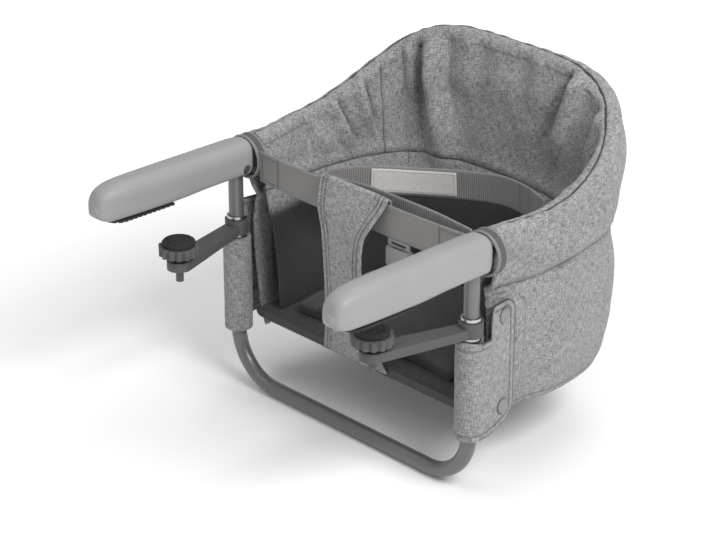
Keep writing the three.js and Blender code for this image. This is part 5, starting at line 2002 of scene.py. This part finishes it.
@dataclass
class Studio:
    """Pale floor, soft lights and the photograph's camera.

    Attributes:
        glow: distances in metres at which the floor starts to glow and glows fully.
        lamps: each lamp's name, azimuth, elevation, distance and side in metres, and power in watts.
    """

    azimuth: float = 46.28
    elevation: float = 24.67
    distance: float = 2389.0
    target: tuple[float, float, float] = (15.5, -1.4, -46.0)
    lens: float = 119.36
    floor: float = -240.0
    ambient: float = 0.45
    glow: tuple[float, float] = (0.55, 1.65)
    lamps: tuple[tuple, ...] = (
        ("key", 84, 42, 2.7, 1.3, 60), ("fill", -25, 52, 2.8, 1.6, 12), ("back", 195, 62, 2.8, 1.6, 14),
    )

    def aim(self, name: str, what: bpy.types.ID, azimuth: float, elevation: float, far: float,
            target: Sequence[float] = (0.0, 0.0, 0.0)) -> Piece:
        """Puts a camera or a lamp on a sphere round a target, and faces it to the target.

        Args:
            name: the object's name.
            what: the camera's or the lamp's data.
            azimuth, elevation, far: where it stands, in degrees and metres.
            target: the place that it faces, in millimetres.

        Returns:
            The object.
        """
        a, e = math.radians(azimuth), math.radians(elevation)
        way = Vector((math.sin(a) * math.cos(e), -math.cos(a) * math.cos(e), math.sin(e)))
        made = placed(name, what)
        made.location = Vector(target) * MM + way * far
        made.rotation_euler = (-way).to_track_quat("-Z", "Y").to_euler()
        return made

    def camera(self) -> None:
        """Sets the camera on the photograph's line of sight."""
        lens = bpy.data.cameras.new("view")
        lens.lens, lens.sensor_width, lens.clip_end = self.lens, 36.0, 50.0
        far = self.distance * MM
        bpy.context.scene.camera = self.aim("view", lens, self.azimuth, self.elevation, far, self.target)

    def light(self) -> None:
        """Adds the soft square lamps."""
        for name, azimuth, elevation, far, size, power in self.lamps:
            light = bpy.data.lights.new(name, "AREA")
            light.shape, light.size, light.energy = "SQUARE", size, power
            self.aim(name, light, azimuth, elevation, far)

    def ground(self) -> None:
        """A wide floor, white to the camera and pale to the light, that glows far from the chair."""
        black, pale, paler, white = ((level,) * 3 for level in (0.0, 0.86, 0.88, 1.0))
        half, z = 14.0, self.floor * MM
        corners = [(x, y, z) for x, y in ((-half, -half), (half, -half), (half, half), (-half, half))]
        mesh = bpy.data.meshes.new("floor")
        mesh.from_pydata(corners, [], [(0, 1, 2, 3)])
        g = Graph.of("floor_paint")
        rays = g.node("ShaderNodeLightPath")
        seen = rays.math("MAXIMUM", rays.out("Is Camera Ray"), rays.out("Is Glossy Ray"))
        shown = g.mix(seen, g.mix(g.noise(g.object_place(), 3.0), pale, paler), white)
        length = g.node("ShaderNodeVectorMath", {"operation": "LENGTH"}, {0: g.object_place()})
        begin, end = self.glow
        far = ((length.out("Value") - begin) / (end - begin)).within()
        glow = g.mix(far * seen, black, white)
        mesh.materials.append(g.finish({"Base Color": shown, "Roughness": 0.9, "Specular IOR Level": 0.0,
                                        "Emission Color": glow, "Emission Strength": 0.8}))
        placed("floor", mesh)

    def sky(self) -> None:
        """Even ambient light, white where the camera sees it."""
        world = bpy.context.scene.world = bpy.data.worlds.new("studio")
        g = Graph(world)
        seen = g.node("ShaderNodeLightPath").out("Is Camera Ray")
        level = g.node("ShaderNodeMix", None, {0: seen, 2: self.ambient, 3: 1.0})
        back = g.node("ShaderNodeBackground", None, {"Color": (1, 1, 1, 1), "Strength": level})
        g.node("ShaderNodeOutputWorld", None, {"Surface": back})

    def assemble(self) -> None:
        """Sets the stage."""
        self.camera()
        self.sky()
        self.ground()
        self.light()
        bpy.context.scene.view_settings.view_transform = "Standard"


def main() -> None:
    """Builds the chair piece by piece, then the studio."""
    logging.basicConfig(level=logging.INFO, format="%(name)s: %(message)s")
    plan = HoopPlan()
    Studio().assemble()
    TubeFrame(plan).assemble()
    for side in Side:
        Arm(side).assemble()
        Hardware(side).assemble()
        SideSleeve(side).assemble()
    build_buckle()
    FabricSeat(plan).assemble()
    Straps().assemble()
    bpy.context.view_layer.update()


if __name__ == "__main__":
    main()
